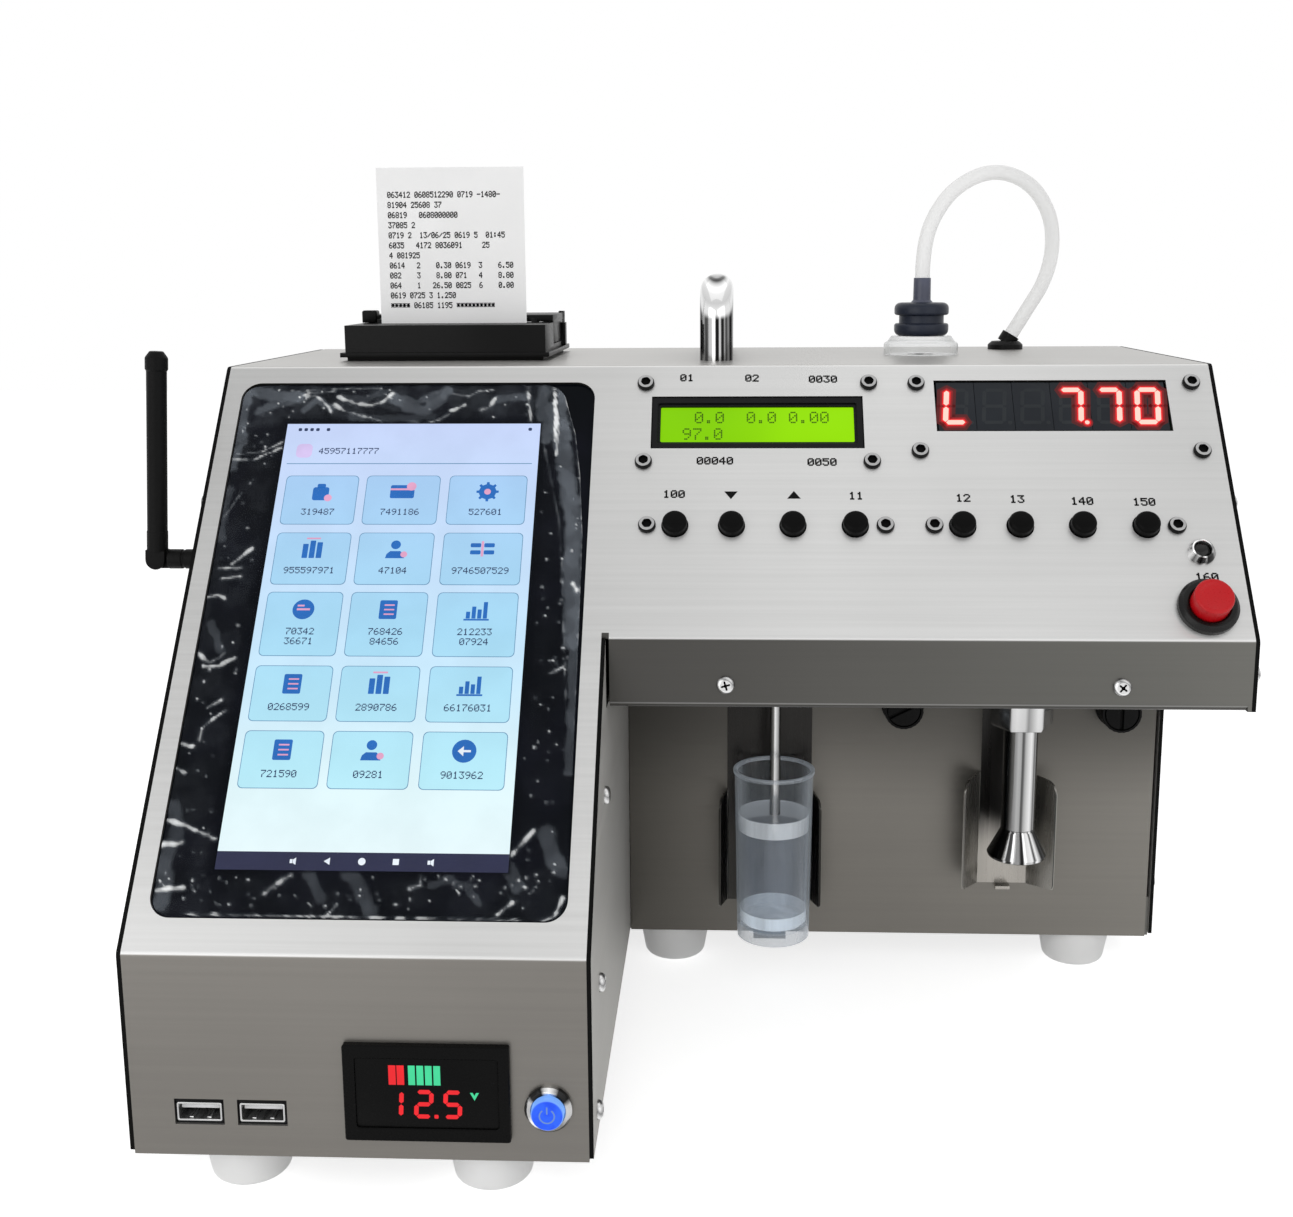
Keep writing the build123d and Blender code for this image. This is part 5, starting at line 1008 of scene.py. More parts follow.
# Digits of seven bars, and digits of dots whose seven lines have one bit for each of five columns
barShapes = {"a": ((-1, 1), (1, 1)), "b": ((1, 1), (1, 0)), "c": ((1, 0), (1, -1)), "d": ((1, -1), (-1, -1)),
             "e": ((-1, -1), (-1, 0)), "f": ((-1, 0), (-1, 1)), "g": ((-1, 0), (1, 0))}
barDigits = {"0": "abcdef", "1": "bc", "2": "abged", "3": "abgcd", "4": "fgbc", "5": "afgcd", "6": "afgedc",
             "7": "abc", "8": "abcdefg", "9": "abcdfg", "L": "def", " ": ""}
dotDigits = {"0": (14, 17, 19, 21, 25, 17, 14), "1": (4, 12, 4, 4, 4, 4, 14), "2": (14, 17, 1, 2, 4, 8, 31),
             "3": (31, 2, 4, 2, 1, 17, 14), "4": (2, 6, 10, 18, 31, 2, 2), "5": (31, 16, 30, 1, 1, 17, 14),
             "6": (6, 8, 16, 30, 17, 17, 14), "7": (31, 1, 2, 4, 8, 8, 8), "8": (14, 17, 17, 14, 17, 17, 14),
             "9": (14, 17, 17, 15, 1, 2, 12), ".": (0, 0, 0, 0, 0, 12, 12), "-": (0, 0, 0, 31, 0, 0, 0),
             ":": (0, 12, 12, 0, 12, 12, 0), "/": (0, 1, 2, 4, 8, 16, 0), "*": (0, 21, 14, 31, 14, 21, 0),
             " ": (0,) * 7}


def bar(bm, middle, size, name, thick, lean, height, grow=0.0):
    # one bar of a digit with pointed ends, wider all round by what it grows
    wide, high = size
    (x0, y0), (x1, y1) = barShapes[name]
    a = Vector((x0 * wide / 2, y0 * high / 2))
    b = Vector((x1 * wide / 2, y1 * high / 2))
    way = (b - a).normalized()
    side = Vector((-way.y, way.x)) * (thick / 2 + grow)
    a, b = a + way * (thick * 0.12 - grow), b - way * (thick * 0.12 - grow)
    tip = way * (thick * 0.42 + grow * 0.5)
    corners = [a, a + tip - side, b - tip - side, b, b - tip + side, a + tip + side]
    flat(bm, [(p.x + lean * p.y + middle[0], p.y + middle[1]) for p in corners], height)


def dots(bm, text, start, pitch, row, height, fill=0.86):
    # a line of dot digits from its lower left corner
    x0, y0 = start
    for index, sign in enumerate(text):
        for line, value in enumerate(dotDigits[sign]):
            for column in range(5):
                if value >> (4 - column) & 1:
                    x = x0 + index * 6 * pitch + column * pitch
                    y = y0 + (6 - line) * row
                    flat(bm, box(pitch * fill, row * fill, middle=(x, y)), height)


# Line display
def makeLineDisplay():
    display = {"middle": (181.25, -23.0), "frame": (72.4, 24.4), "window": (64.5, 14.2), "lip": (70.4, 20.4),
               "opening": (66.2, 16.0), "corner": 0.6, "depth": -8.2, "seat": -1.2, "face": -0.35,
               "panelLow": -4.0, "panel": -2.0, "ink": -1.96, "pitch": 0.58, "row": 0.66,
               "digits": (("0.0", -20.6, 1.1), ("0.0", -3.2, 1.1), ("0.00", 10.9, 1.1), ("97.0", -24.6, -5.4))}
    middle, corner = display["middle"], display["corner"]
    frameLine, window, lip, opening = (box(*display[name], corner, middle)
                                       for name in ("frame", "window", "lip", "opening"))
    bm = bmesh.new()
    ringPlate(bm, frameLine, window, display["depth"], display["seat"])
    ringPlate(bm, lip, opening, display["seat"], display["face"], 0.25)
    newPiece("displayFrame", bm, onSlope, "bezel", replaced="lcd_bezel")
    bm = bmesh.new()
    slab(bm, box(*display["window"], 0, middle), display["panelLow"], display["panel"], 0.1)
    newPiece("displayPanel", bm, onSlope, "lcd", replaced="lcd_window")
    bm = bmesh.new()
    for text, left, low in display["digits"]:
        dots(bm, text, (middle[0] + left, middle[1] + low), display["pitch"], display["row"], display["ink"])
    newPiece("displayDigits", bm, onSlope, "lcdInk")


makeLineDisplay()


# Digit display of six modules
def makeDigitDisplay():
    digits = {"x": 279.0, "y": -16.6, "module": 12.6, "moduleHigh": 19.0, "depth": -8.4, "face": -0.4,
              "wide": 6.7, "high": 12.8, "lean": 0.09, "signs": "L  770", "dark": (1.3, -0.385),
              "point": (4.7, -6.5), "litPoint": 3}
    glow, glowMiddle, core, off, glowOuter, bm = (bmesh.new() for _ in range(6))
    # three layers of painted glow, each wider than the last, under the lit core of every bar
    layers = ((glowOuter, 1.7, -0.38, 2.3), (glowMiddle, 1.7, -0.37, 1.2), (glow, 1.7, -0.36, 0.55),
              (core, 1.75, -0.32, 0.0))
    size, lean = (digits["wide"], digits["high"]), digits["lean"]
    darkThick, darkLevel = digits["dark"]
    for index, sign in enumerate(digits["signs"]):
        middle = (digits["x"] + (index - 2.5) * digits["module"], digits["y"])
        slab(bm, box(digits["module"] - 0.12, digits["moduleHigh"], 0.15, middle, 2), digits["depth"],
             digits["face"], 0.12)
        for name in barShapes:
            if name in barDigits[sign]:
                for layer, thick, level, grow in layers:
                    bar(layer, middle, size, name, thick, lean, level, grow)
            else:
                bar(off, middle, size, name, darkThick, lean, darkLevel)
        point = (middle[0] + digits["point"][0], middle[1] + digits["point"][1])
        if index == digits["litPoint"]:
            flat(glowMiddle, box(3.8, 3.8, 1.85, point, 5), -0.37)
            flat(glow, box(2.6, 2.6, 1.25, point, 5), -0.36)
            flat(core, box(1.5, 1.5, 0.7, point, 4), -0.32)
        else:
            flat(off, box(1.5, 1.5, 0.7, point, 4), darkLevel)
    newPiece("digitModules", bm, onSlope, "ledOff", replaced="led_digits")
    newPiece("digitGlowOuter", glowOuter, onSlope, "ledVeil")
    newPiece("digitGlowMiddle", glowMiddle, onSlope, "ledTint")
    newPiece("digitGlow", glow, onSlope, "ledHalo")
    newPiece("digitBars", core, onSlope, "ledOn")
    newPiece("digitRest", off, onSlope, "segmentOff")


makeDigitDisplay()
print("displays made")


# Tablet picture: tiles with simple generic signs and small digits
screen = {"left": 22.7, "top": 22.7, "wide": 86.0, "high": 154.1, "foot": 148.6, "level": -1.16,
          "signDrop": 6.2, "wordDrop": 13.8, "nextDrop": 17.2, "tallTile": 20,
          "headDots": (4.6, 6.6, 8.6, 10.6, 14.2, 82.6),
          "rows": ((20.4, 39.0), (42.0, 61.0), (63.6, 86.0), (89.2, 107.8), (110.8, 129.3)),
          "columns": ((2.6, 27.0), (29.6, 54.2), (57.2, 83.0)),
          "kinds": ("bag", "card", "gear", "books", "head", "links", "disc", "page", "chart", "page", "books",
                    "chart", "page", "head", "back")}


def onScreen(u, v):
    # a place on the slope, from its distances to the left and upper edge of the picture
    return (screen["left"] + u, -(screen["top"] + v))


def screenBox(u0, v0, u1, v1, corner=0.0):
    middle = onScreen((u0 + u1) / 2, (v0 + v1) / 2)
    return box(u1 - u0, v1 - v0, corner, middle, 4)


def disc(middle, radius):
    steps = 24
    return [(middle[0] + radius * math.cos(math.tau * k / steps),
             middle[1] + radius * math.sin(math.tau * k / steps)) for k in range(steps)]


def sign(kind, blue, pink, u, v, level):
    # one small generic picture on a tile
    def at(du, dv):
        return onScreen(u + du, v + dv)

    def plate(bm, du, dv, w, h, corner=0.0):
        flat(bm, box(w, h, corner, at(du, dv), 3), level)

    if kind == "gear":
        cx, cy = at(0, 0)
        flat(blue, [(cx + r * math.cos(a), cy + r * math.sin(a)) for k in range(8) for r, a in (
            (2.9, math.tau * (k - 0.22) / 8), (3.7, math.tau * (k - 0.14) / 8),
            (3.7, math.tau * (k + 0.14) / 8), (2.9, math.tau * (k + 0.22) / 8))], level)
        flat(pink, disc((cx, cy), 1.1), level + 0.02)
    elif kind == "page":
        plate(blue, 0, 0, 5.6, 6.6, 0.5)
        for step in (-1.6, 0, 1.6):
            flat(pink, box(3.2, 0.5, 0, at(0.3, step)), level + 0.02)
    elif kind == "chart":
        for k, high in enumerate((2.4, 4.2, 3.2, 5.8)):
            plate(blue, -2.7 + k * 1.8, 3.0 - high / 2, 1.3, high, 0.1)
        plate(blue, 0, 3.4, 8.0, 0.6)
    elif kind == "disc":
        flat(blue, disc(at(0, 0), 3.5), level)
        flat(pink, box(4.2, 0.7, 0, at(0, 0)), level + 0.02)
        flat(pink, box(2.2, 0.6, 0, at(-0.9, -1.3)), level + 0.02)
    elif kind == "card":
        plate(blue, 0, 0, 8.0, 5.0, 0.6)
        flat(pink, box(8.0, 0.7, 0, at(0, -0.9)), level + 0.02)
        flat(pink, disc(at(2.9, -2.0), 1.6), level + 0.03)
    elif kind == "links":
        for dv in (-1.6, 1.0):
            plate(blue, -2.2, dv, 3.4, 1.5, 0.4)
            plate(blue, 2.2, dv, 3.4, 1.5, 0.4)
        plate(pink, 0, -0.3, 0.8, 5.6)
    elif kind == "head":
        flat(blue, disc(at(0, -1.7), 1.6), level)
        flat(blue, [at(-3.1, 3.2), at(3.1, 3.2), at(2.7, 1.6), at(1.6, 0.6), at(-1.6, 0.6), at(-2.7, 1.6)],
             level)
        flat(pink, disc(at(2.9, 1.8), 1.1), level + 0.02)
    elif kind == "back":
        flat(blue, disc(at(0, 0), 3.7), level)
    elif kind == "books":
        for k, high in enumerate((5.2, 6.4, 5.8)):
            plate(blue, -2.3 + k * 2.3, (6.4 - high) / 2, 1.8, high, 0.2)
        plate(pink, 0, -4.0, 4.6, 0.6)
    elif kind == "bag":
        plate(blue, 0, 0.8, 5.4, 5.0, 0.8)
        plate(blue, 0, -2.2, 2.8, 1.6, 0.5)
        flat(pink, disc(at(2.6, 2.4), 1.3), level + 0.02)


def makeScreen():
    level = screen["level"]
    bm = bmesh.new()
    flat(bm, screenBox(0, 0, screen["wide"], screen["foot"]), level)
    newPiece("screenPicture", bm, onSlope, "screen")
    bm = bmesh.new()
    flat(bm, screenBox(0, screen["foot"], screen["wide"], screen["high"]), level)
    newPiece("screenFoot", bm, onSlope, "screenBar")
    edges, tiles, blue, pink, ink, white = (bmesh.new() for _ in range(6))
    order = iter(screen["kinds"])

    def words(count, middle, line):
        # a row of small plain digits
        text = "".join(random.choice("0123456789") for _ in range(count))
        x, y = onScreen(middle - count * 0.93 + 0.155, line)
        dots(ink, text, (x, y - 1.0), 0.31, 0.33, level + 0.09, 1.06)

    for v0, v1 in screen["rows"]:
        for u0, u1 in screen["columns"]:
            flat(edges, screenBox(u0, v0, u1, v1, 1.6), level + 0.03)
            flat(tiles, screenBox(u0 + 0.22, v0 + 0.22, u1 - 0.22, v1 - 0.22, 1.5), level + 0.06)
            kind = next(order)
            middle, high = (u0 + u1) / 2, v0 + screen["signDrop"]
            sign(kind, blue, pink, middle, high, level + 0.09)
            if kind == "back":
                cx, cy = onScreen(middle, high)
                flat(white, [(cx - 2.0, cy), (cx - 0.2, cy - 1.6), (cx - 0.2, cy + 1.6)], level + 0.11)
                flat(white, box(2.6, 0.7, 0, (cx + 0.7, cy)), level + 0.11)
            words(random.randint(5, 10), middle, v0 + screen["wordDrop"])
            if v1 - v0 > screen["tallTile"]:
                words(5, middle, v0 + screen["nextDrop"])
    words(11, 22.3, 10.8)
    flat(edges, screenBox(1.8, 15.6, 84.0, 15.9), level + 0.03)
    for u in screen["headDots"]:
        flat(ink, screenBox(u - 0.6, 1.7, u + 0.6, 2.9, 0.4), level + 0.05)
    badge = bmesh.new()
    flat(badge, screenBox(4.4, 8.0, 9.8, 13.4, 1.6), level + 0.05)
    newPiece("screenBadge", badge, onSlope, "signPale")
    newPiece("tileEdges", edges, onSlope, "tileEdge")
    newPiece("tilePlates", tiles, onSlope, "tile")
    newPiece("tileSigns", blue, onSlope, "signBlue")
    newPiece("tileAccents", pink, onSlope, "signPink")
    newPiece("tileDigits", ink, onSlope, "signInk")
    cx, cy = onScreen(32.8, 151.3)
    level += 0.03
    flat(white, [(cx - 1.0, cy), (cx + 0.8, cy - 1.1), (cx + 0.8, cy + 1.1)], level)
    flat(white, disc(onScreen(43.0, 151.3), 1.1), level)
    flat(white, screenBox(52.1, 150.4, 53.9, 152.2), level)
    for u in (22.7, 63.2):
        flat(white, screenBox(u - 0.9, 150.8, u - 0.1, 152.0), level)
        cx, cy = onScreen(u, 151.4)
        flat(white, [(cx, cy - 0.5), (cx + 0.9, cy - 1.1), (cx + 0.9, cy + 1.1), (cx, cy + 0.5)], level)
    newPiece("screenMarks", white, onSlope, "signWhite")


makeScreen()
print("screen drawn")

# Film over the tablet: flat on the picture, loose and folded round it. Each fold, with its painted highlight, and each
# ribbon of painted sheen has its half width and strength before its points
film = {"left": 6.1, "top": -7.4, "foot": -190.9, "corner": 6.0, "columns": 190, "rows": 300, "base": -0.97,
        "middle": (65.7, -99.8), "half": (43.6, 77.6), "specks": 220,
        "rightAt": (7.4, 17.0, 27.0, 43.0, 66.0, 97.0, 190.9),
        "right": (115.2, 117.8, 120.7, 123.0, 124.9, 125.4, 126.1),
        "folds": (
            (0.75, 0.75, (38.9, -12.0), (41.3, -13.4), (45.0, -14.8), (50.4, -15.4), (54.3, -14.1),
             (57.1, -10.6)),
            (0.6, 0.5, (26.9, -14.3), (28.1, -12.1), (30.8, -11.6), (33.7, -13.7), (35.9, -16.4),
             (37.0, -18.3)),
            (0.5, 0.45, (26.3, -11.8), (28.8, -10.5), (33.7, -10.0), (37.2, -9.5)),
            (0.8, 0.7, (37.9, -15.1), (39.9, -16.6)),
            (0.35, 0.4, (24.7, -9.8), (33.6, -8.9), (42.5, -8.5), (53.2, -8.6)),
            (0.4, 0.6, (64.9, -21.9), (68.5, -23.1), (73.3, -21.7), (77.4, -19.1)),
            (0.6, 0.8, (77.8, -17.8), (82.4, -15.7)),
            (0.35, 0.4, (38.1, -16.4), (43.7, -18.5), (49.2, -20.1), (54.7, -21.9)),
            (0.8, 0.7, (88.4, -17.6), (90.9, -16.3), (92.7, -13.2)),
            (0.45, 0.5, (78.5, -11.2), (83.9, -11.8), (86.4, -10.2), (91.7, -9.1)),
            (0.4, 0.55, (103.6, -7.9), (104.4, -15.5), (105.5, -22.8)),
            (0.5, 1.0, (112.5, -7.6), (113.5, -17.6), (113.9, -25.9), (114.0, -29.9)),
            (0.45, 0.7, (113.9, -17.2), (114.9, -26.5), (114.6, -35.7)),
            (0.35, 0.5, (115.2, -6.2), (117.8, -17.2), (120.7, -26.6), (123.0, -42.9), (124.9, -65.7)),
            (0.3, 0.25, (124.9, -65.7), (125.1, -84.2), (125.1, -97.3), (125.8, -116.3), (126.1, -134.6)),
            (0.3, 0.25, (108.8, -24.7), (113.0, -42.9), (117.1, -60.5), (119.4, -84.2), (120.9, -103.7),
             (122.8, -125.5)),
            (0.4, 0.5, (7.1, -35.1), (15.4, -34.0), (22.6, -29.8)),
            (0.4, 0.6, (6.0, -37.1), (13.1, -37.2), (22.2, -32.3)),
            (0.4, 0.45, (6.2, -60.4), (8.3, -55.7), (10.9, -50.1)),
            (0.6, 0.9, (12.2, -76.5), (15.2, -73.5), (17.9, -70.9)),
            (0.6, 0.7, (8.4, -78.1), (15.2, -78.0)), (0.6, 0.7, (9.7, -81.8), (15.7, -81.0)),
            (0.6, 0.7, (6.1, -88.5), (9.3, -87.8), (11.8, -89.0)),
            (0.6, 0.8, (6.7, -108.2), (10.5, -111.3), (13.3, -109.5), (14.8, -107.8)),
            (0.6, 0.8, (8.8, -112.5), (13.7, -112.4), (18.1, -109.5)),
            (0.5, 0.8, (12.4, -126.3), (16.5, -123.8)),
            (0.5, 0.9, (11.8, -133.2), (14.9, -129.7), (18.1, -127.4)),
            (0.4, 0.4, (11.8, -133.2), (11.6, -137.2)), (0.6, 0.9, (5.6, -137.9), (10.0, -139.0)),
            (0.5, 0.7, (5.7, -145.7), (8.9, -147.5)),
            (0.6, 0.8, (5.5, -161.9), (12.4, -164.0), (21.7, -167.7)),
            (0.8, 1.0, (5.6, -169.9), (11.4, -169.2)),
            (0.8, 0.9, (6.8, -183.4), (10.1, -182.7), (14.3, -182.1)),
            (0.7, 0.6, (38.3, -183.9), (41.5, -181.2), (45.7, -178.2)),
            (0.4, 0.5, (57.8, -189.9), (60.1, -186.7)),
            (0.6, 0.7, (80.4, -182.0), (83.8, -180.9), (83.3, -178.4)),
            (0.6, 0.8, (106.6, -189.0), (110.8, -185.6)),
            (0.7, 0.9, (108.5, -172.5), (111.8, -168.5), (115.3, -164.3)),
            (0.35, 0.6, (16.9, -190.0), (39.2, -190.2), (65.9, -190.5), (92.3, -190.6), (113.4, -190.7)),
            (0.6, 0.8, (117.7, -191.7), (122.9, -189.6), (125.0, -184.1)),
            (0.8, 0.8, (122.8, -83.4), (123.9, -85.5)), (0.5, 0.7, (117.2, -114.4), (121.0, -112.1))),
        "ribbons": (
            (3.0, 0.85, (8, -9), (18, -12), (25, -12)), (3.2, 0.8, (7, -11), (6, -19), (7, -28)),
            (2.0, 0.6, (12, -18), (17, -15), (23, -14)), (1.6, 0.6, (28, -17), (32, -13), (37, -17)),
            (2.4, 0.75, (58, -13), (63, -16), (69, -18), (74, -13), (76, -10)),
            (1.6, 0.6, (58, -12), (66, -14), (74, -10)), (2.0, 0.55, (94, -13), (103, -12)),
            (1.5, 0.4, (41, -12), (48, -13), (55, -10)), (1.6, 0.3, (44, -20), (56, -21), (72, -20)),
            (2.6, 0.55, (109, -9), (109, -18), (111, -29)), (1.8, 0.9, (115, -10), (116, -19), (118, -29)),
            (3.4, 0.75, (112, -17), (117, -34), (119, -46), (122, -61), (122, -78), (123, -91), (124, -104)),
            (2.0, 0.45, (124, -104), (125, -126), (125, -146)), (2.6, 0.55, (8, -30), (6, -35), (6, -40)),
            (2.0, 0.35, (7, -49), (6, -57), (7, -67)), (1.6, 0.35, (9, -98), (13, -107)),
            (2.6, 0.35, (7, -158), (10, -164), (8, -174)), (3.0, 0.5, (7, -175), (9, -181), (9, -187)),
            (1.8, 0.3, (48, -174), (52, -180), (55, -185)), (2.6, 0.4, (58, -173), (65, -180), (70, -189)),
            (1.5, 0.35, (87, -181), (91, -179), (97, -181), (101, -186)),
            (2.4, 0.4, (104, -173), (109, -176), (112, -181)),
            (3.0, 0.45, (119, -165), (121, -171), (124, -176)))}


def lineDistance(x, y, points):
    # the distance of every grid point from a line of points
    least = np.full(x.shape, 1e6)
    for (x0, y0), (x1, y1) in zip(points, points[1:]):
        dx, dy = x1 - x0, y1 - y0
        t = np.clip(((x - x0) * dx + (y - y0) * dy) / (dx * dx + dy * dy), 0, 1)
        least = np.minimum(least, np.hypot(x - x0 - t * dx, y - y0 - t * dy))
    return least


def smooth(value, low, high):
    # 0 below a value, 1 above another, smooth between them
    t = np.clip((value - low) / (high - low), 0, 1)
    return t * t * (3 - 2 * t)


def grain(x, y, scale, seed):
    # smooth noise at every grid point
    values = [noise.noise((a * scale, b * scale, seed)) for a, b in zip(x.flat, y.flat)]
    return np.array(values).reshape(x.shape)


def makeFilm():
    across, along = np.meshgrid(np.linspace(0, 1, film["columns"]), np.linspace(0, 1, film["rows"]))
    y = film["top"] + (film["foot"] - film["top"]) * along
    end = np.clip(film["corner"] - np.minimum(film["top"] - y, y - film["foot"]), 0, film["corner"])
    inward = film["corner"] - np.sqrt(film["corner"] ** 2 - end ** 2)
    left = film["left"] + inward
    right = np.interp(-y, film["rightAt"], film["right"]) - inward
    x = left + (right - left) * across
    middle, half = film["middle"], film["half"]
    out = np.maximum(np.abs(x - middle[0]) - half[0], np.abs(y - middle[1]) - half[1])
    loose = smooth(out, 0.0, 4.0)
    facet = smooth(grain(x, y, 0.13, 3.1), -0.10, 0.12)
    fine = grain(x, y, 0.5, 7.7)
    fold = np.zeros(x.shape)
    patchy = 0.50 + 0.50 * smooth(grain(x, y, 0.34, 5.3), -0.25, 0.30)
    for half, strength, *points in film["folds"]:
        reach = half * (0.55 + 0.45 * patchy)
        near = lineDistance(x, y, points) + fine * 0.5
        fold = np.maximum(fold, strength * patchy * np.exp(-(near / reach) ** 2))
    # small white spots added to the painted highlights
    for _ in range(film["specks"]):
        u, v = random.choice(((random.uniform(7, 20), random.uniform(-188, -12)),
                              (random.uniform(7, 120), random.uniform(-188, -178)),
                              (random.uniform(7, 112), random.uniform(-22, -9)),
                              (random.uniform(111, 123), random.uniform(-186, -40))))
        size = random.uniform(0.3, 0.5)
        fold = np.maximum(fold, random.uniform(0.2, 0.8) * np.exp(-(np.hypot(x - u, y - v) / size) ** 2))
    # painted sheen along the ribbons and, more faintly, over the loose margins, strongest along the top
    milk = np.zeros(x.shape)
    for half, strength, *points in film["ribbons"]:
        near = lineDistance(x, y, points) + fine * 0.8
        milk = np.maximum(milk, strength * (1 - smooth(near, half * 0.55, half * 1.05)) * (0.7 + 0.3 * facet))
    band = np.where(y > -24, 0.17, np.where(y < -176, 0.05, np.where(x < 60, 0.07, 0.02)))
    milk = np.maximum(milk, band * loose * (0.35 + 0.65 * facet) * (0.85 + 0.5 * fine))
    fold *= smooth(out, -1.0, 0.6)
    milk *= smooth(out, -0.6, 0.8)
    height = film["base"] + 0.10 + loose * (0.35 * fold + 0.30 * milk + 0.12 * facet)
    bm = bmesh.new()
    layers = bm.verts.layers.float.new("fold"), bm.verts.layers.float.new("milk")
    grid = []
    for j in range(film["rows"]):
        row = []
        for i in range(film["columns"]):
            vert = bm.verts.new((x[j, i], y[j, i], height[j, i]))
            vert[layers[0]], vert[layers[1]] = float(fold[j, i]), float(milk[j, i])
            row.append(vert)
        grid.append(row)
    for low, high in zip(grid, grid[1:]):
        for i in range(film["columns"] - 1):
            bm.faces.new((low[i], high[i], high[i + 1], low[i + 1]))
    newPiece("filmSheet", bm, onSlope, "film", sharp=180, replaced="protective_film")


makeFilm()
print("film laid")


# Voltmeter
def makeMeter():
    meter = {"middle": (86.5, 21.4), "frame": (47.8, 29.6), "window": (41.0, 21.5), "body": (45.4, 26.2),
             "corner": 0.8, "depth": -18.0, "rise": 2.0, "pane": (0.8, 1.4), "level": 1.43,
             "barLine": 27.0, "redBar": (2.1, 6.0), "redAt": (76.75, 79.15), "greenBar": (1.95, 6.0),
             "greenStart": 82.35, "greenPitch": 2.42, "digit": (4.2, 7.6), "digitLine": 18.1,
             "digits": ((77.0, "1"), (85.6, "2"), (93.9, "5")), "point": (89.1, 14.3),
             "unit": [(98.9, 21.9), (100.2, 19.5), (101.5, 21.9), (100.7, 21.9), (100.2, 21.0), (99.7, 21.9)]}
    middle, level, line = meter["middle"], meter["level"], meter["barLine"]
    bm = bmesh.new()
    ringPlate(bm, box(*meter["frame"], meter["corner"], middle),
              box(*meter["window"], meter["corner"], middle), 0, meter["rise"], 0.3)
    slab(bm, box(*meter["body"], 0, middle), meter["depth"], 0.7)
    newPiece("meterCase", bm, onFront, "meter", replaced="voltmeter_case")
    bm = bmesh.new()
    slab(bm, box(*meter["window"], 0, middle), *meter["pane"], 0.1)
    newPiece("meterWindow", bm, onFront, "meter", replaced="voltmeter_window")
    red, green = bmesh.new(), bmesh.new()
    for x in meter["redAt"]:
        flat(red, box(*meter["redBar"], 0, (x, line)), level)
    for k in range(4):
        flat(green, box(*meter["greenBar"], 0, (meter["greenStart"] + k * meter["greenPitch"], line)), level)
    for x, digit in meter["digits"]:
        for name in barDigits[digit]:
            bar(red, (x, meter["digitLine"]), meter["digit"], name, 1.3, 0.06, level)
    flat(red, box(1.2, 1.2, 0.3, meter["point"], 3), level)
    flat(green, meter["unit"], level)
    newPiece("meterRedBars", red, onFront, "meterRed")
    newPiece("meterGreenBars", green, onFront, "meterGreen")


makeMeter()


# Sockets on the front
def makeSockets():
    socket = {"spots": (19.8, 38.2), "line": 13.6, "hole": (14.4, 7.9, 0.3), "gap": (13.0, 5.6, 0.3),
              "gapDepth": (-2.2, -0.9), "shell": (13.1, 5.7, 0.5), "mouth": (12.1, 4.7, 0.35), "depth": -14.0,
              "wall": -13.2, "tongue": (11.3, 1.6, 0.15), "tongueUp": 1.1, "tongueEnd": -1.6,
              "contact": (1.0, 0.12), "contactPitch": 2.4, "contactDepth": (-12.0, -2.4),
              "spring": (1.3, 0.5, 0.1), "springAt": (2.6, -2.1), "springDepth": (-6.0, -0.6)}
    depth, wall, y = socket["depth"], socket["wall"], socket["line"]
    bm = bmesh.new()
    for x in socket["spots"]:
        middle = (x, y)
        hole, gap, shell, mouth = (box(*socket[name], middle, 3) for name in ("hole", "gap", "shell", "mouth"))
        ringPlate(bm, hole, gap, *socket["gapDepth"], 0.05, 3)
        ringPlate(bm, shell, mouth, depth, 0, 0.08)
        # painted shade at the back of each socket
        slab(bm, box(*socket["mouth"][:2], 0, middle), depth, wall, tone=2)
        slab(bm, box(*socket["tongue"], (x, y + socket["tongueUp"]), 2), wall, socket["tongueEnd"], 0.15, tone=1)
        for k in range(4):
            spot = (x - 3.6 + k * socket["contactPitch"], y + 0.2)
            slab(bm, box(*socket["contact"], 0, spot), *socket["contactDepth"], tone=0)
        for side in (-1, 1):
            spot = (x + side * socket["springAt"][0], y + socket["springAt"][1])
            slab(bm, box(*socket["spring"], spot, 2), *socket["springDepth"], 0.15, tone=0)
    newPiece("socketShells", bm, onFront, ["socketShell", "socketTongue", "hole", "bezel"],
             replaced="usb_sockets")


makeSockets()
print("front made")

# Printer: the moulded frame and door with eased edges, and the slip
softened("printer_frame", "printer", 0.35)
softened("printer_door", "printer", 0.35, "door")
softened("printer_latch", "printer", 0.25, "latch")


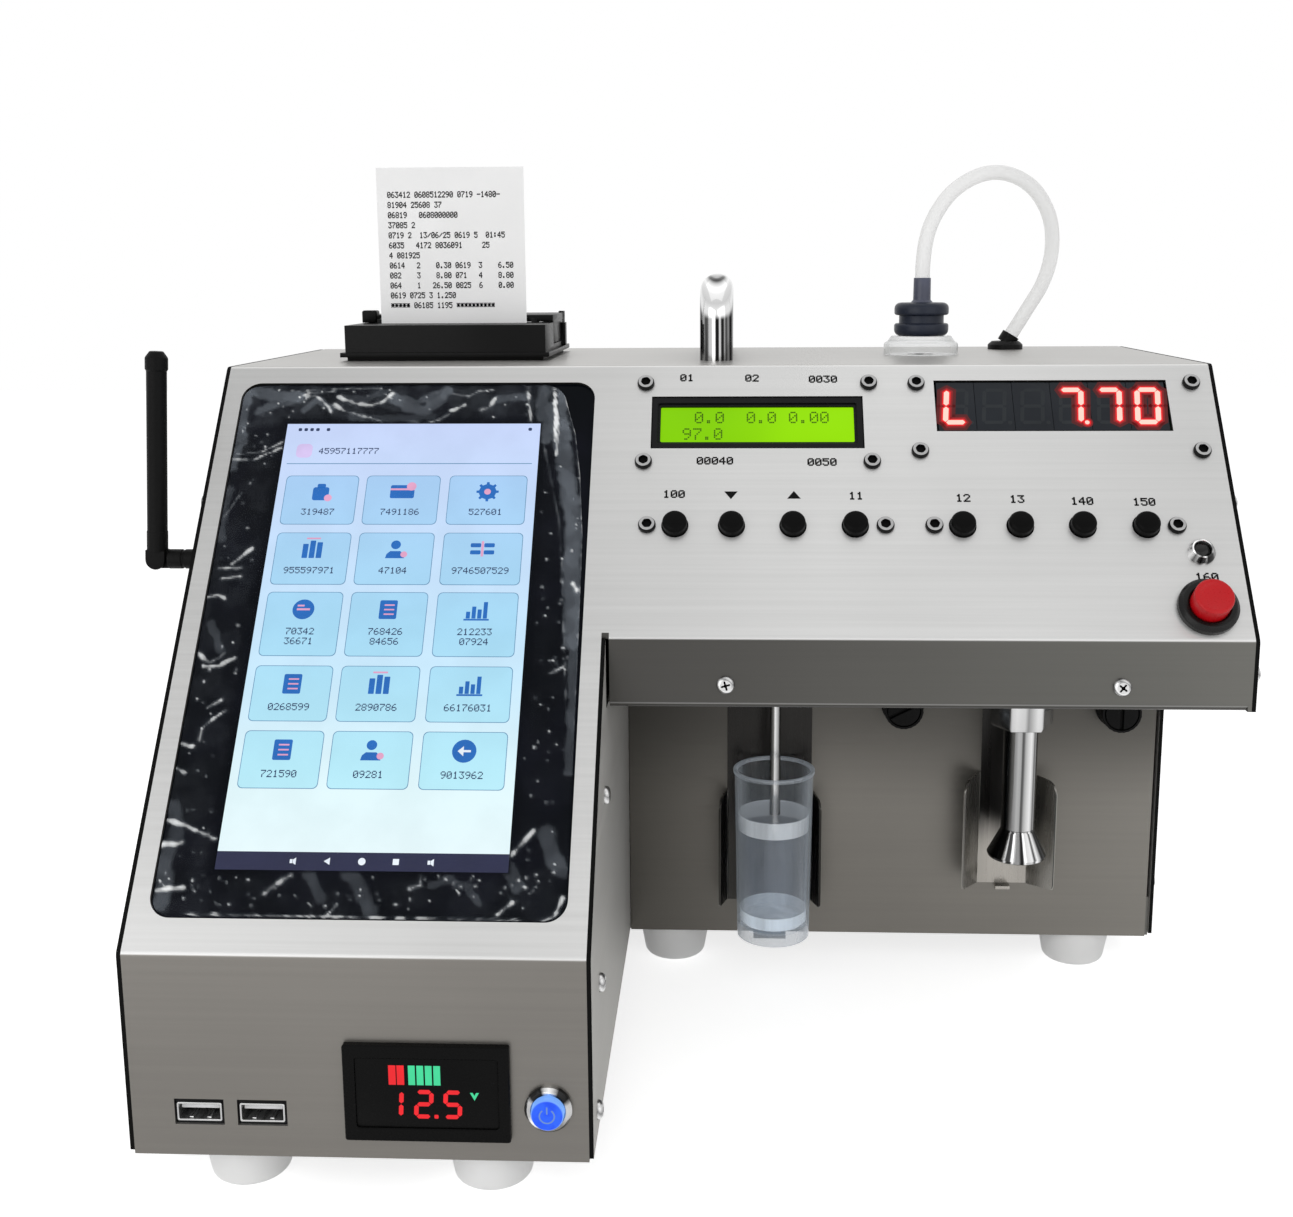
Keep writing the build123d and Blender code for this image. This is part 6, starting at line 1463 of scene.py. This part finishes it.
def makeSlip():
    slip = {"middle": 67.4, "front": 184.2, "wide": 55.4, "low": 201.0, "high": 290.0, "thick": 0.12,
            "rows": 12, "columns": 6, "left": 23.6, "first": 279.2, "pitch": 3.71, "dot": (0.245, 0.31),
            "lines": ("063412 0608512290 0719 -1480-", "81904 25608 37", "06819   0608000000", "37085 2",
                      "0719 2  13/06/25 0619 5  01:45", "6035   4172 8036091     25", "4 081925",
                      "0614   2    0.30 0619  3    6.50", "082    3    8.80 071   4    8.80",
                      "064    1   26.50 0825  6    0.00", "0619 0725 3 1.250", "***** 06185 1195 **********")}
    bm = bmesh.new()
    rows, columns = slip["rows"], slip["columns"]
    for side, gap in ((0, 0.0), (1, slip["thick"])):
        grid = [[bm.verts.new((slip["middle"] + (i / columns - 0.5) * slip["wide"], slip["front"] + gap,
                               slip["low"] + (slip["high"] - slip["low"]) * j / rows))
                 for i in range(columns + 1)] for j in range(rows + 1)]
        for a, b in zip(grid, grid[1:]):
            for i in range(columns):
                corners = (a[i], a[i + 1], b[i + 1], b[i])
                bm.faces.new(corners if side else corners[::-1])
    newPiece("slipPaper", bm, onFloor, "paper", replaced="paper_strip")
    bm = bmesh.new()
    for k, text in enumerate(slip["lines"]):
        start = (slip["middle"] - slip["left"], slip["first"] - k * slip["pitch"])
        dots(bm, text, start, *slip["dot"], 0.04, 1.4)
    onSlip = planeFrame((0, slip["front"], 0), (1, 0, 0), (0, 0, 1))
    newPiece("slipPrint", bm, onSlip, "ink")


makeSlip()
print("printer made")


# Inlet, stopper and grommet
def makeInlet():
    inlet = {"spot": (244.6, 193.6), "neck": 5.0, "depth": -8.0, "cup": 14.0, "cupRise": 7.0,
             "stopper": 10.2, "groove": 8.4, "stopperTop": 19.4, "nozzle": 3.2, "nozzleTop": 28.6}
    spot, neck, depth, rise = inlet["spot"], inlet["neck"], inlet["depth"], inlet["cupRise"]
    bm = bmesh.new()
    rim = [(inlet["cup"], 0), (inlet["cup"], 4.2), (12.6, 5.0), (11.2, rise), (0, rise)]
    turn(bm, [(0, depth), (neck, depth), (neck, 0)] + eased(rim, [0, 0.9, 0.6, 0.6, 0]), spot, 72)
    newPiece("inletCup", bm, onTop, "inlet", replaced="inlet_base")
    bm = bmesh.new()
    wide, narrow, top, end = inlet["stopper"], inlet["groove"], inlet["stopperTop"], inlet["nozzleTop"]
    plug = [(0, rise), (wide, rise), (wide, 11.6), (narrow, 11.7), (narrow, 14.7), (wide, 14.8),
            (wide, top), (4.2, top), (3.3, 20.4), (inlet["nozzle"], end), (2.9, end), (0, end)]
    turn(bm, eased(plug, [0, 2.2, 2.2, 0.3, 0.3, 2.2, 2.2, 0.4, 0.5, 0.2, 0.1, 0]), spot, 64)
    for face in bm.faces:
        face.material_index = face.calc_center_median().z > 19.6
    newPiece("inletPlug", bm, onTop, ["stopper", "nozzle"], replaced="inlet_stopper")
    grommet = {"spot": (282.8, 230.0), "neck": 4.6, "depth": -2.4, "flange": 6.9, "rise": 3.2, "sleeve": 3.6,
               "sleeveDepth": 4.0}
    neck, depth, rise = grommet["neck"], grommet["depth"], grommet["rise"]
    bm = bmesh.new()
    rim = [(grommet["flange"], 0), (grommet["flange"], 1.8), (5.4, rise), (3.2, rise), (0, 3.0)]
    turn(bm, [(0, depth), (neck, depth), (neck, 0)] + eased(rim, [0, 0.6, 1.0, 0.3, 0]), grommet["spot"], 56)
    end, before = (Vector(hose["turns"][k]) for k in (-1, -2))
    way = (before - end).normalized()
    lift = Vector((0, 0, housing["top"]))
    swept(bm, [end - way * grommet["sleeveDepth"] - lift, end - lift], grommet["sleeve"], 40)
    newPiece("grommetRing", bm, onTop, "grommet", replaced="hose_grommet")


makeInlet()


# Sampling pipe, stirrer, cup with its water and the two holders
def makeSampling():
    pipe = {"spot": (189.0, 142.0), "radius": 2.0, "bore": 1.0, "collar": 4.0, "collarLow": -3.0,
            "top": 9.0, "low": -71.5, "boreTop": -20.0}
    radius, bore = pipe["radius"], pipe["bore"]
    bm = bmesh.new()
    turn(bm, [(bore, pipe["top"]), (radius, pipe["top"]), (radius, 0), (pipe["collar"], 0),
              (pipe["collar"], -2.6), (3.6, pipe["collarLow"]), (radius, pipe["collarLow"]),
              (radius, -71.1), (1.85, pipe["low"]), (bore, pipe["low"]), (bore, pipe["boreTop"]),
              (0, pipe["boreTop"])], pipe["spot"], 32)
    newPiece("pipeTube", bm, onSoffit, "pipe", replaced="sample_pipe")

    stirrer = {"spot": (276.5, 134.0), "hexagon": 11.3, "hexagonLow": -28.0, "rod": 6.05, "rodLow": -66.0,
               "cone": 10.6, "coneLow": -77.1, "stack": 9.5, "stackTop": 27.2}
    spot, rod, corner = stirrer["spot"], stirrer["rod"], stirrer["hexagon"]
    bm = bmesh.new()
    flats = [(corner * math.cos(math.tau * k / 6), corner * math.sin(math.tau * k / 6)) for k in range(6)]
    outline = [(x + spot[0], y + spot[1]) for x, y in eased(flats + [flats[0]], 1.2, 3)[:-1]]
    slab(bm, outline, stirrer["hexagonLow"], 0, 0.1, 2, bottomEdge=1.8)
    turn(bm, [(0, 1.0), (rod, 1.0), (rod, stirrer["rodLow"])], spot, 72)
    cone = [(rod, -65.6), (rod, -66.5), (stirrer["cone"], -75.5), (10.3, -76.4), (9.0, stirrer["coneLow"]),
            (7.6, stirrer["coneLow"]), (0, -76.6)]
    turn(bm, eased(cone, [0, 0.8, 0.2, 0.2, 0.3, 0.3, 0]), spot, 72, 1)
    stack, top = stirrer["stack"], stirrer["stackTop"]
    turn(bm, [(0, top), (stack, top), (stack, 1.2), (0, 1.2)], spot, 48)
    newPiece("stirrerHorn", bm, onSoffit, ["rod", "cone", "hexagon"], replaced="stirrer_horn")

    cup = {"spot": (188.6, 142.3), "lift": 6.9, "foot": 13.4, "footIn": 12.5, "wallLow": (13.49, 5.4),
           "wallHigh": (14.45, 63.0), "rim": 15.0, "height": 64.5, "inHigh": (13.5, 63.2),
           "inLow": (12.45, 5.4)}
    spot, low, high, rim, height = cup["spot"], cup["wallLow"], cup["wallHigh"], cup["rim"], cup["height"]
    onShelf = planeFrame((0, 0, cup["lift"]), (1, 0, 0), (0, 1, 0))
    bm = bmesh.new()
    foot = [(0, 4.0), (cup["footIn"], 4.0), (cup["footIn"], 0), (cup["foot"], 0), low]
    turn(bm, eased(foot, [0, 0.8, 0.2, 0.4, 0]), spot, 72, 1)
    turn(bm, [low, high], spot, 72)
    turn(bm, eased([high, (rim, 63.1), (rim, height), (13.95, height), cup["inHigh"]],
                   [0, 0.3, 0.4, 0.3, 0]), spot, 72, 1)
    turn(bm, eased([cup["inHigh"], cup["inLow"], (0, cup["inLow"][1])], [0, 1.0, 0]), spot, 72)
    newPiece("cupShell", bm, onShelf, ["cup", "cupRim"], "cup", replaced="sample_cup")

    # the water, with painted highlights as a paler foot and a paler band under its surface
    water = {"foot": (12.30, 6.4), "footTop": (12.38, 10.6), "bandLow": (13.0, 41.4), "bandTop": (13.13, 47.6),
             "surface": [(0, 46.9), (8.0, 46.95), (12.0, 47.15), (12.9, 47.5), (13.1, 47.8)]}
    bm = bmesh.new()
    turn(bm, [(0, 5.5), (11.5, 5.5), water["foot"]], spot, 64, 2)
    turn(bm, [water["foot"], water["footTop"]], spot, 64, 2)
    turn(bm, [water["footTop"], water["bandLow"]], spot, 64)
    turn(bm, [water["bandLow"], water["bandTop"]], spot, 64, 1)
    newPiece("cupWater", bm, onShelf, ["water", "waterBandHighlight", "waterFootHighlight"], "cup")
    bm = bmesh.new()
    turn(bm, water["surface"], spot, 64)
    newPiece("waterSurface", bm, onShelf, "waterTop", "cup")


makeSampling()
softened("cup_holder", "cupHolder", 0.12)
softened("stirrer_holder", "stirrerHolder", 0.12)


# Fuse caps with ribs and a slot, and their holders
def makeFuses():
    fuse = {"spots": ((236.5, 91.6, 27), (316.0, 90.8, 90)), "stem": 4.6, "stemLow": -7.5, "cap": 7.2,
            "low": 1.5, "high": 9.5, "dish": 6.9, "dishFloor": 7.9, "rib": 0.16, "ribbed": 7.1,
            "slot": 0.7, "island": 5.9, "steps": 72, "barrel": 6.2, "barrelLow": -34.0, "bore": 4.66,
            "collar": 7.6, "collarTop": 1.2}
    stem, cap, low, high = fuse["stem"], fuse["cap"], fuse["low"], fuse["high"]
    floor, dish, bore, steps = fuse["dishFloor"], fuse["dish"], fuse["bore"], fuse["steps"]
    bodies = ("left_fuse_cap", "right_fuse_cap")
    holders = bmesh.new()
    for number, (x, z, slotTurn) in enumerate(fuse["spots"], 1):
        bm = bmesh.new()
        rings = []
        for radius, height in eased([(stem, fuse["stemLow"]), (stem, low), (cap, low), (cap, high),
                                     (dish, high)], [0, 0, 0.2, 0.9, 0], 5):
            ring = []
            for k in range(steps):
                angle = math.tau * k / steps
                ribbed = radius - (fuse["rib"] if radius > fuse["ribbed"] and k % 3 == 0 else 0)
                ring.append(bm.verts.new((x + ribbed * math.cos(angle), z + ribbed * math.sin(angle), height)))
            rings.append(ring)
        ringFaces(bm, rings)
        bm.faces.new(rings[0][::-1])
        # two islands leave the slot between them
        along = math.radians(slotTurn) + math.pi / 2
        angles = [math.radians(-84 + 168 * k / 24) for k in range(25)]
        arc = [(fuse["island"] * math.cos(a), fuse["island"] * math.sin(a)) for a in angles]
        for side in (-1, 1):
            plate = [(side * max(fuse["slot"], px), py) for px, py in arc]
            turned = [(x + px * math.cos(along) - py * math.sin(along),
                       z + px * math.sin(along) + py * math.cos(along))
                      for px, py in (plate if side > 0 else plate[::-1])]
            slab(bm, turned, floor, high, 0.15)
        turn(bm, [(dish, high), (6.35, high), (6.2, floor), (0, floor)], (x, z), 72)
        newPiece(f"fuseCap{number}Form", bm, onRecess, "antenna", bodies[number - 1],
                 replaced=f"fuse_cap_{number}")
        barrel = [(bore, fuse["barrelLow"]), (fuse["barrel"], fuse["barrelLow"]), (fuse["barrel"], 0)]
        collar = [(fuse["collar"], 0), (fuse["collar"], fuse["collarTop"]), (bore, fuse["collarTop"]),
                  (bore, -7.8)]
        turn(holders, barrel + eased(collar, [0, 0.3, 0.2, 0]), (x, z), 56)
    newPiece("fuseBodies", holders, onRecess, "antenna", replaced="fuse_holders")


makeFuses()


# Antenna
def makeAntenna():
    antenna = {"y": 100.0, "z": 157.2, "reach": 20.3, "radius": 3.3, "lean": 3.5, "tongue": (2.4, 6.0),
               "cheek": (1.55, 2.75), "cheekTop": 3.2,
               "stub": [(0, 2.3), (3.3, 2.3), (3.3, 9.1), (3.0, 9.5), (3.0, 9.9), (3.3, 10.3), (3.3, 14.9),
                        (0, 14.9)],
               "mast": [(0, 2.9), (3.45, 2.9), (3.45, 9.4), (3.3, 9.7), (3.3, 63.0), (3.5, 63.3), (3.7, 63.7),
                        (3.7, 67.4), (2.2, 69.5), (0, 69.5)]}
    radius, top = antenna["radius"], antenna["cheekTop"]
    reach = antenna["reach"] - housing["side"]
    middle = (-antenna["y"], antenna["z"])
    bm = bmesh.new()
    turn(bm, eased(antenna["stub"], [0, 0.3, 0.1, 0.1, 0.1, 0.1, 0.4, 0]), middle, 40)
    slab(bm, box(*antenna["tongue"], 0, middle), 14.0, reach + 2.2, 0.6)
    newPiece("antennaStub", bm, onLeft, "antenna", "antenna_base", replaced="antenna_elbow")
    bm = bmesh.new()
    turn(bm, eased(antenna["mast"], [0, 0, 0.15, 0.1, 0.1, 0.2, 0.2, 1.4, 0.6, 0]), (0, 0), 48)
    angles = [math.pi + math.pi * k / 16 for k in range(17)]
    cheek = [(math.cos(a) * radius, math.sin(a) * radius) for a in angles] + [(radius, top), (-radius, top)]
    for side in (-1, 1):
        part = bmesh.new()
        slab(part, cheek, *antenna["cheek"], 0.3)
        merge(bm, part, Matrix(((1, 0, 0, 0), (0, 0, -side, 0), (0, 1, 0, 0), (0, 0, 0, 1))))
    onHinge = (planeFrame((-antenna["reach"], antenna["y"], antenna["z"]), (1, 0, 0), (0, 1, 0))
               @ Matrix.Rotation(math.radians(antenna["lean"]), 4, "Y"))
    newPiece("antennaMast", bm, onHinge, "antenna", "antenna_mast", replaced="antenna_whip")


makeAntenna()
print("pieces made")


# Printed marks on the panel: plain digits and arrows
def makeMarks():
    marks = {"pitch": 0.41, "row": 0.40, "level": 0.03,
             "digits": (("01", 157.6, 5.1), ("02", 179.6, 5.3), ("0030", 203.5, 5.8),
                        ("00040", 167.3, 38.1), ("0050", 202.4, 38.6), ("100", 154.1, 50.8),
                        ("11", 213.0, 51.4), ("12", 247.3, 52.2), ("13", 264.5, 52.6),
                        ("140", 285.1, 53.3), ("150", 304.7, 53.6), ("160", 320.7, 80.6)),
             "arrows": ((172.6, 51.2, -1), (193.0, 51.1, 1))}
    bm = bmesh.new()
    for text, x, s in marks["digits"]:
        left = x - (len(text) * 6 - 2) * marks["pitch"] / 2
        dots(bm, text, (left, -s - 3 * marks["row"]), marks["pitch"], marks["row"], marks["level"], 1.4)
    for x, s, way in marks["arrows"]:
        flat(bm, [(x - 2.2 * way, -s - 1.4 * way), (x + 2.2 * way, -s - 1.4 * way), (x, -s + 1.5 * way)],
             marks["level"])
    newPiece("panelMarks", bm, onSlope, "mark")


makeMarks()


# Floor, light and world
def seenDirectly(f):
    # 1 for what the camera sees itself, in a mirror or through something clear, 0 for other light
    rays = [f.node("ShaderNodeLightPath", output=name)
            for name in ("Is Camera Ray", "Is Glossy Ray", "Is Transmission Ray")]
    total = rays[0] + rays[1] + rays[2]
    return total.maths("MINIMUM", total, 1.0)


def makeStage():
    stage = {"reach": 3.0, "matt": 0.86, "glow": 0.74, "world": 0.42, "aim": (170, 110, 100),
             "lamps": {"key": ((-420, -700, 420), 0.9, 3.2), "fill": ((700, -560, 380), 0.9, 1.6),
                       "over": ((170, 260, 900), 1.1, 1.2)}}
    mesh = bpy.data.meshes.new("floor")
    level = place(0, 0, housing["floor"]).z
    mesh.from_pydata([(x * stage["reach"], y * stage["reach"], level)
                      for x, y in ((-1, -1), (1, -1), (1, 1), (-1, 1))], [], [(0, 1, 2, 3)])
    floor = bpy.data.objects.new("floor", mesh)
    bpy.context.scene.collection.objects.link(floor)
    f = Finish("floorPale")
    matt = f.node("ShaderNodeBsdfDiffuse", inputs={"Color": (stage["matt"],) * 3})
    glow = f.node("ShaderNodeEmission", inputs={"Color": (1, 1, 1), "Strength": stage["glow"]})
    both = f.node("ShaderNodeAddShader", inputs={0: matt, 1: glow})
    mixed = f.node("ShaderNodeMixShader", inputs={0: seenDirectly(f), 1: matt, 2: both})
    mesh.materials.append(f.close(mixed))
    world = bpy.data.worlds.new("studio")
    bpy.context.scene.world = world
    f = Finish("studio", world)
    light = f.node("ShaderNodeBackground", inputs={"Color": (1, 1, 1), "Strength": stage["world"]})
    white = f.node("ShaderNodeBackground", inputs={"Color": (1, 1, 1), "Strength": 1.0})
    f.close(f.node("ShaderNodeMixShader", inputs={0: seenDirectly(f), 1: light, 2: white}))
    for name, (spot, size, power) in stage["lamps"].items():
        lamp = bpy.data.lights.new(name, "AREA")
        lamp.shape, lamp.size, lamp.energy = "SQUARE", size, power
        holder = bpy.data.objects.new(name, lamp)
        holder.location = place(*spot)
        aim = place(*stage["aim"]) - holder.location
        holder.rotation_euler = aim.to_track_quat("-Z", "Y").to_euler()
        bpy.context.scene.collection.objects.link(holder)


makeStage()
print("stage lit")
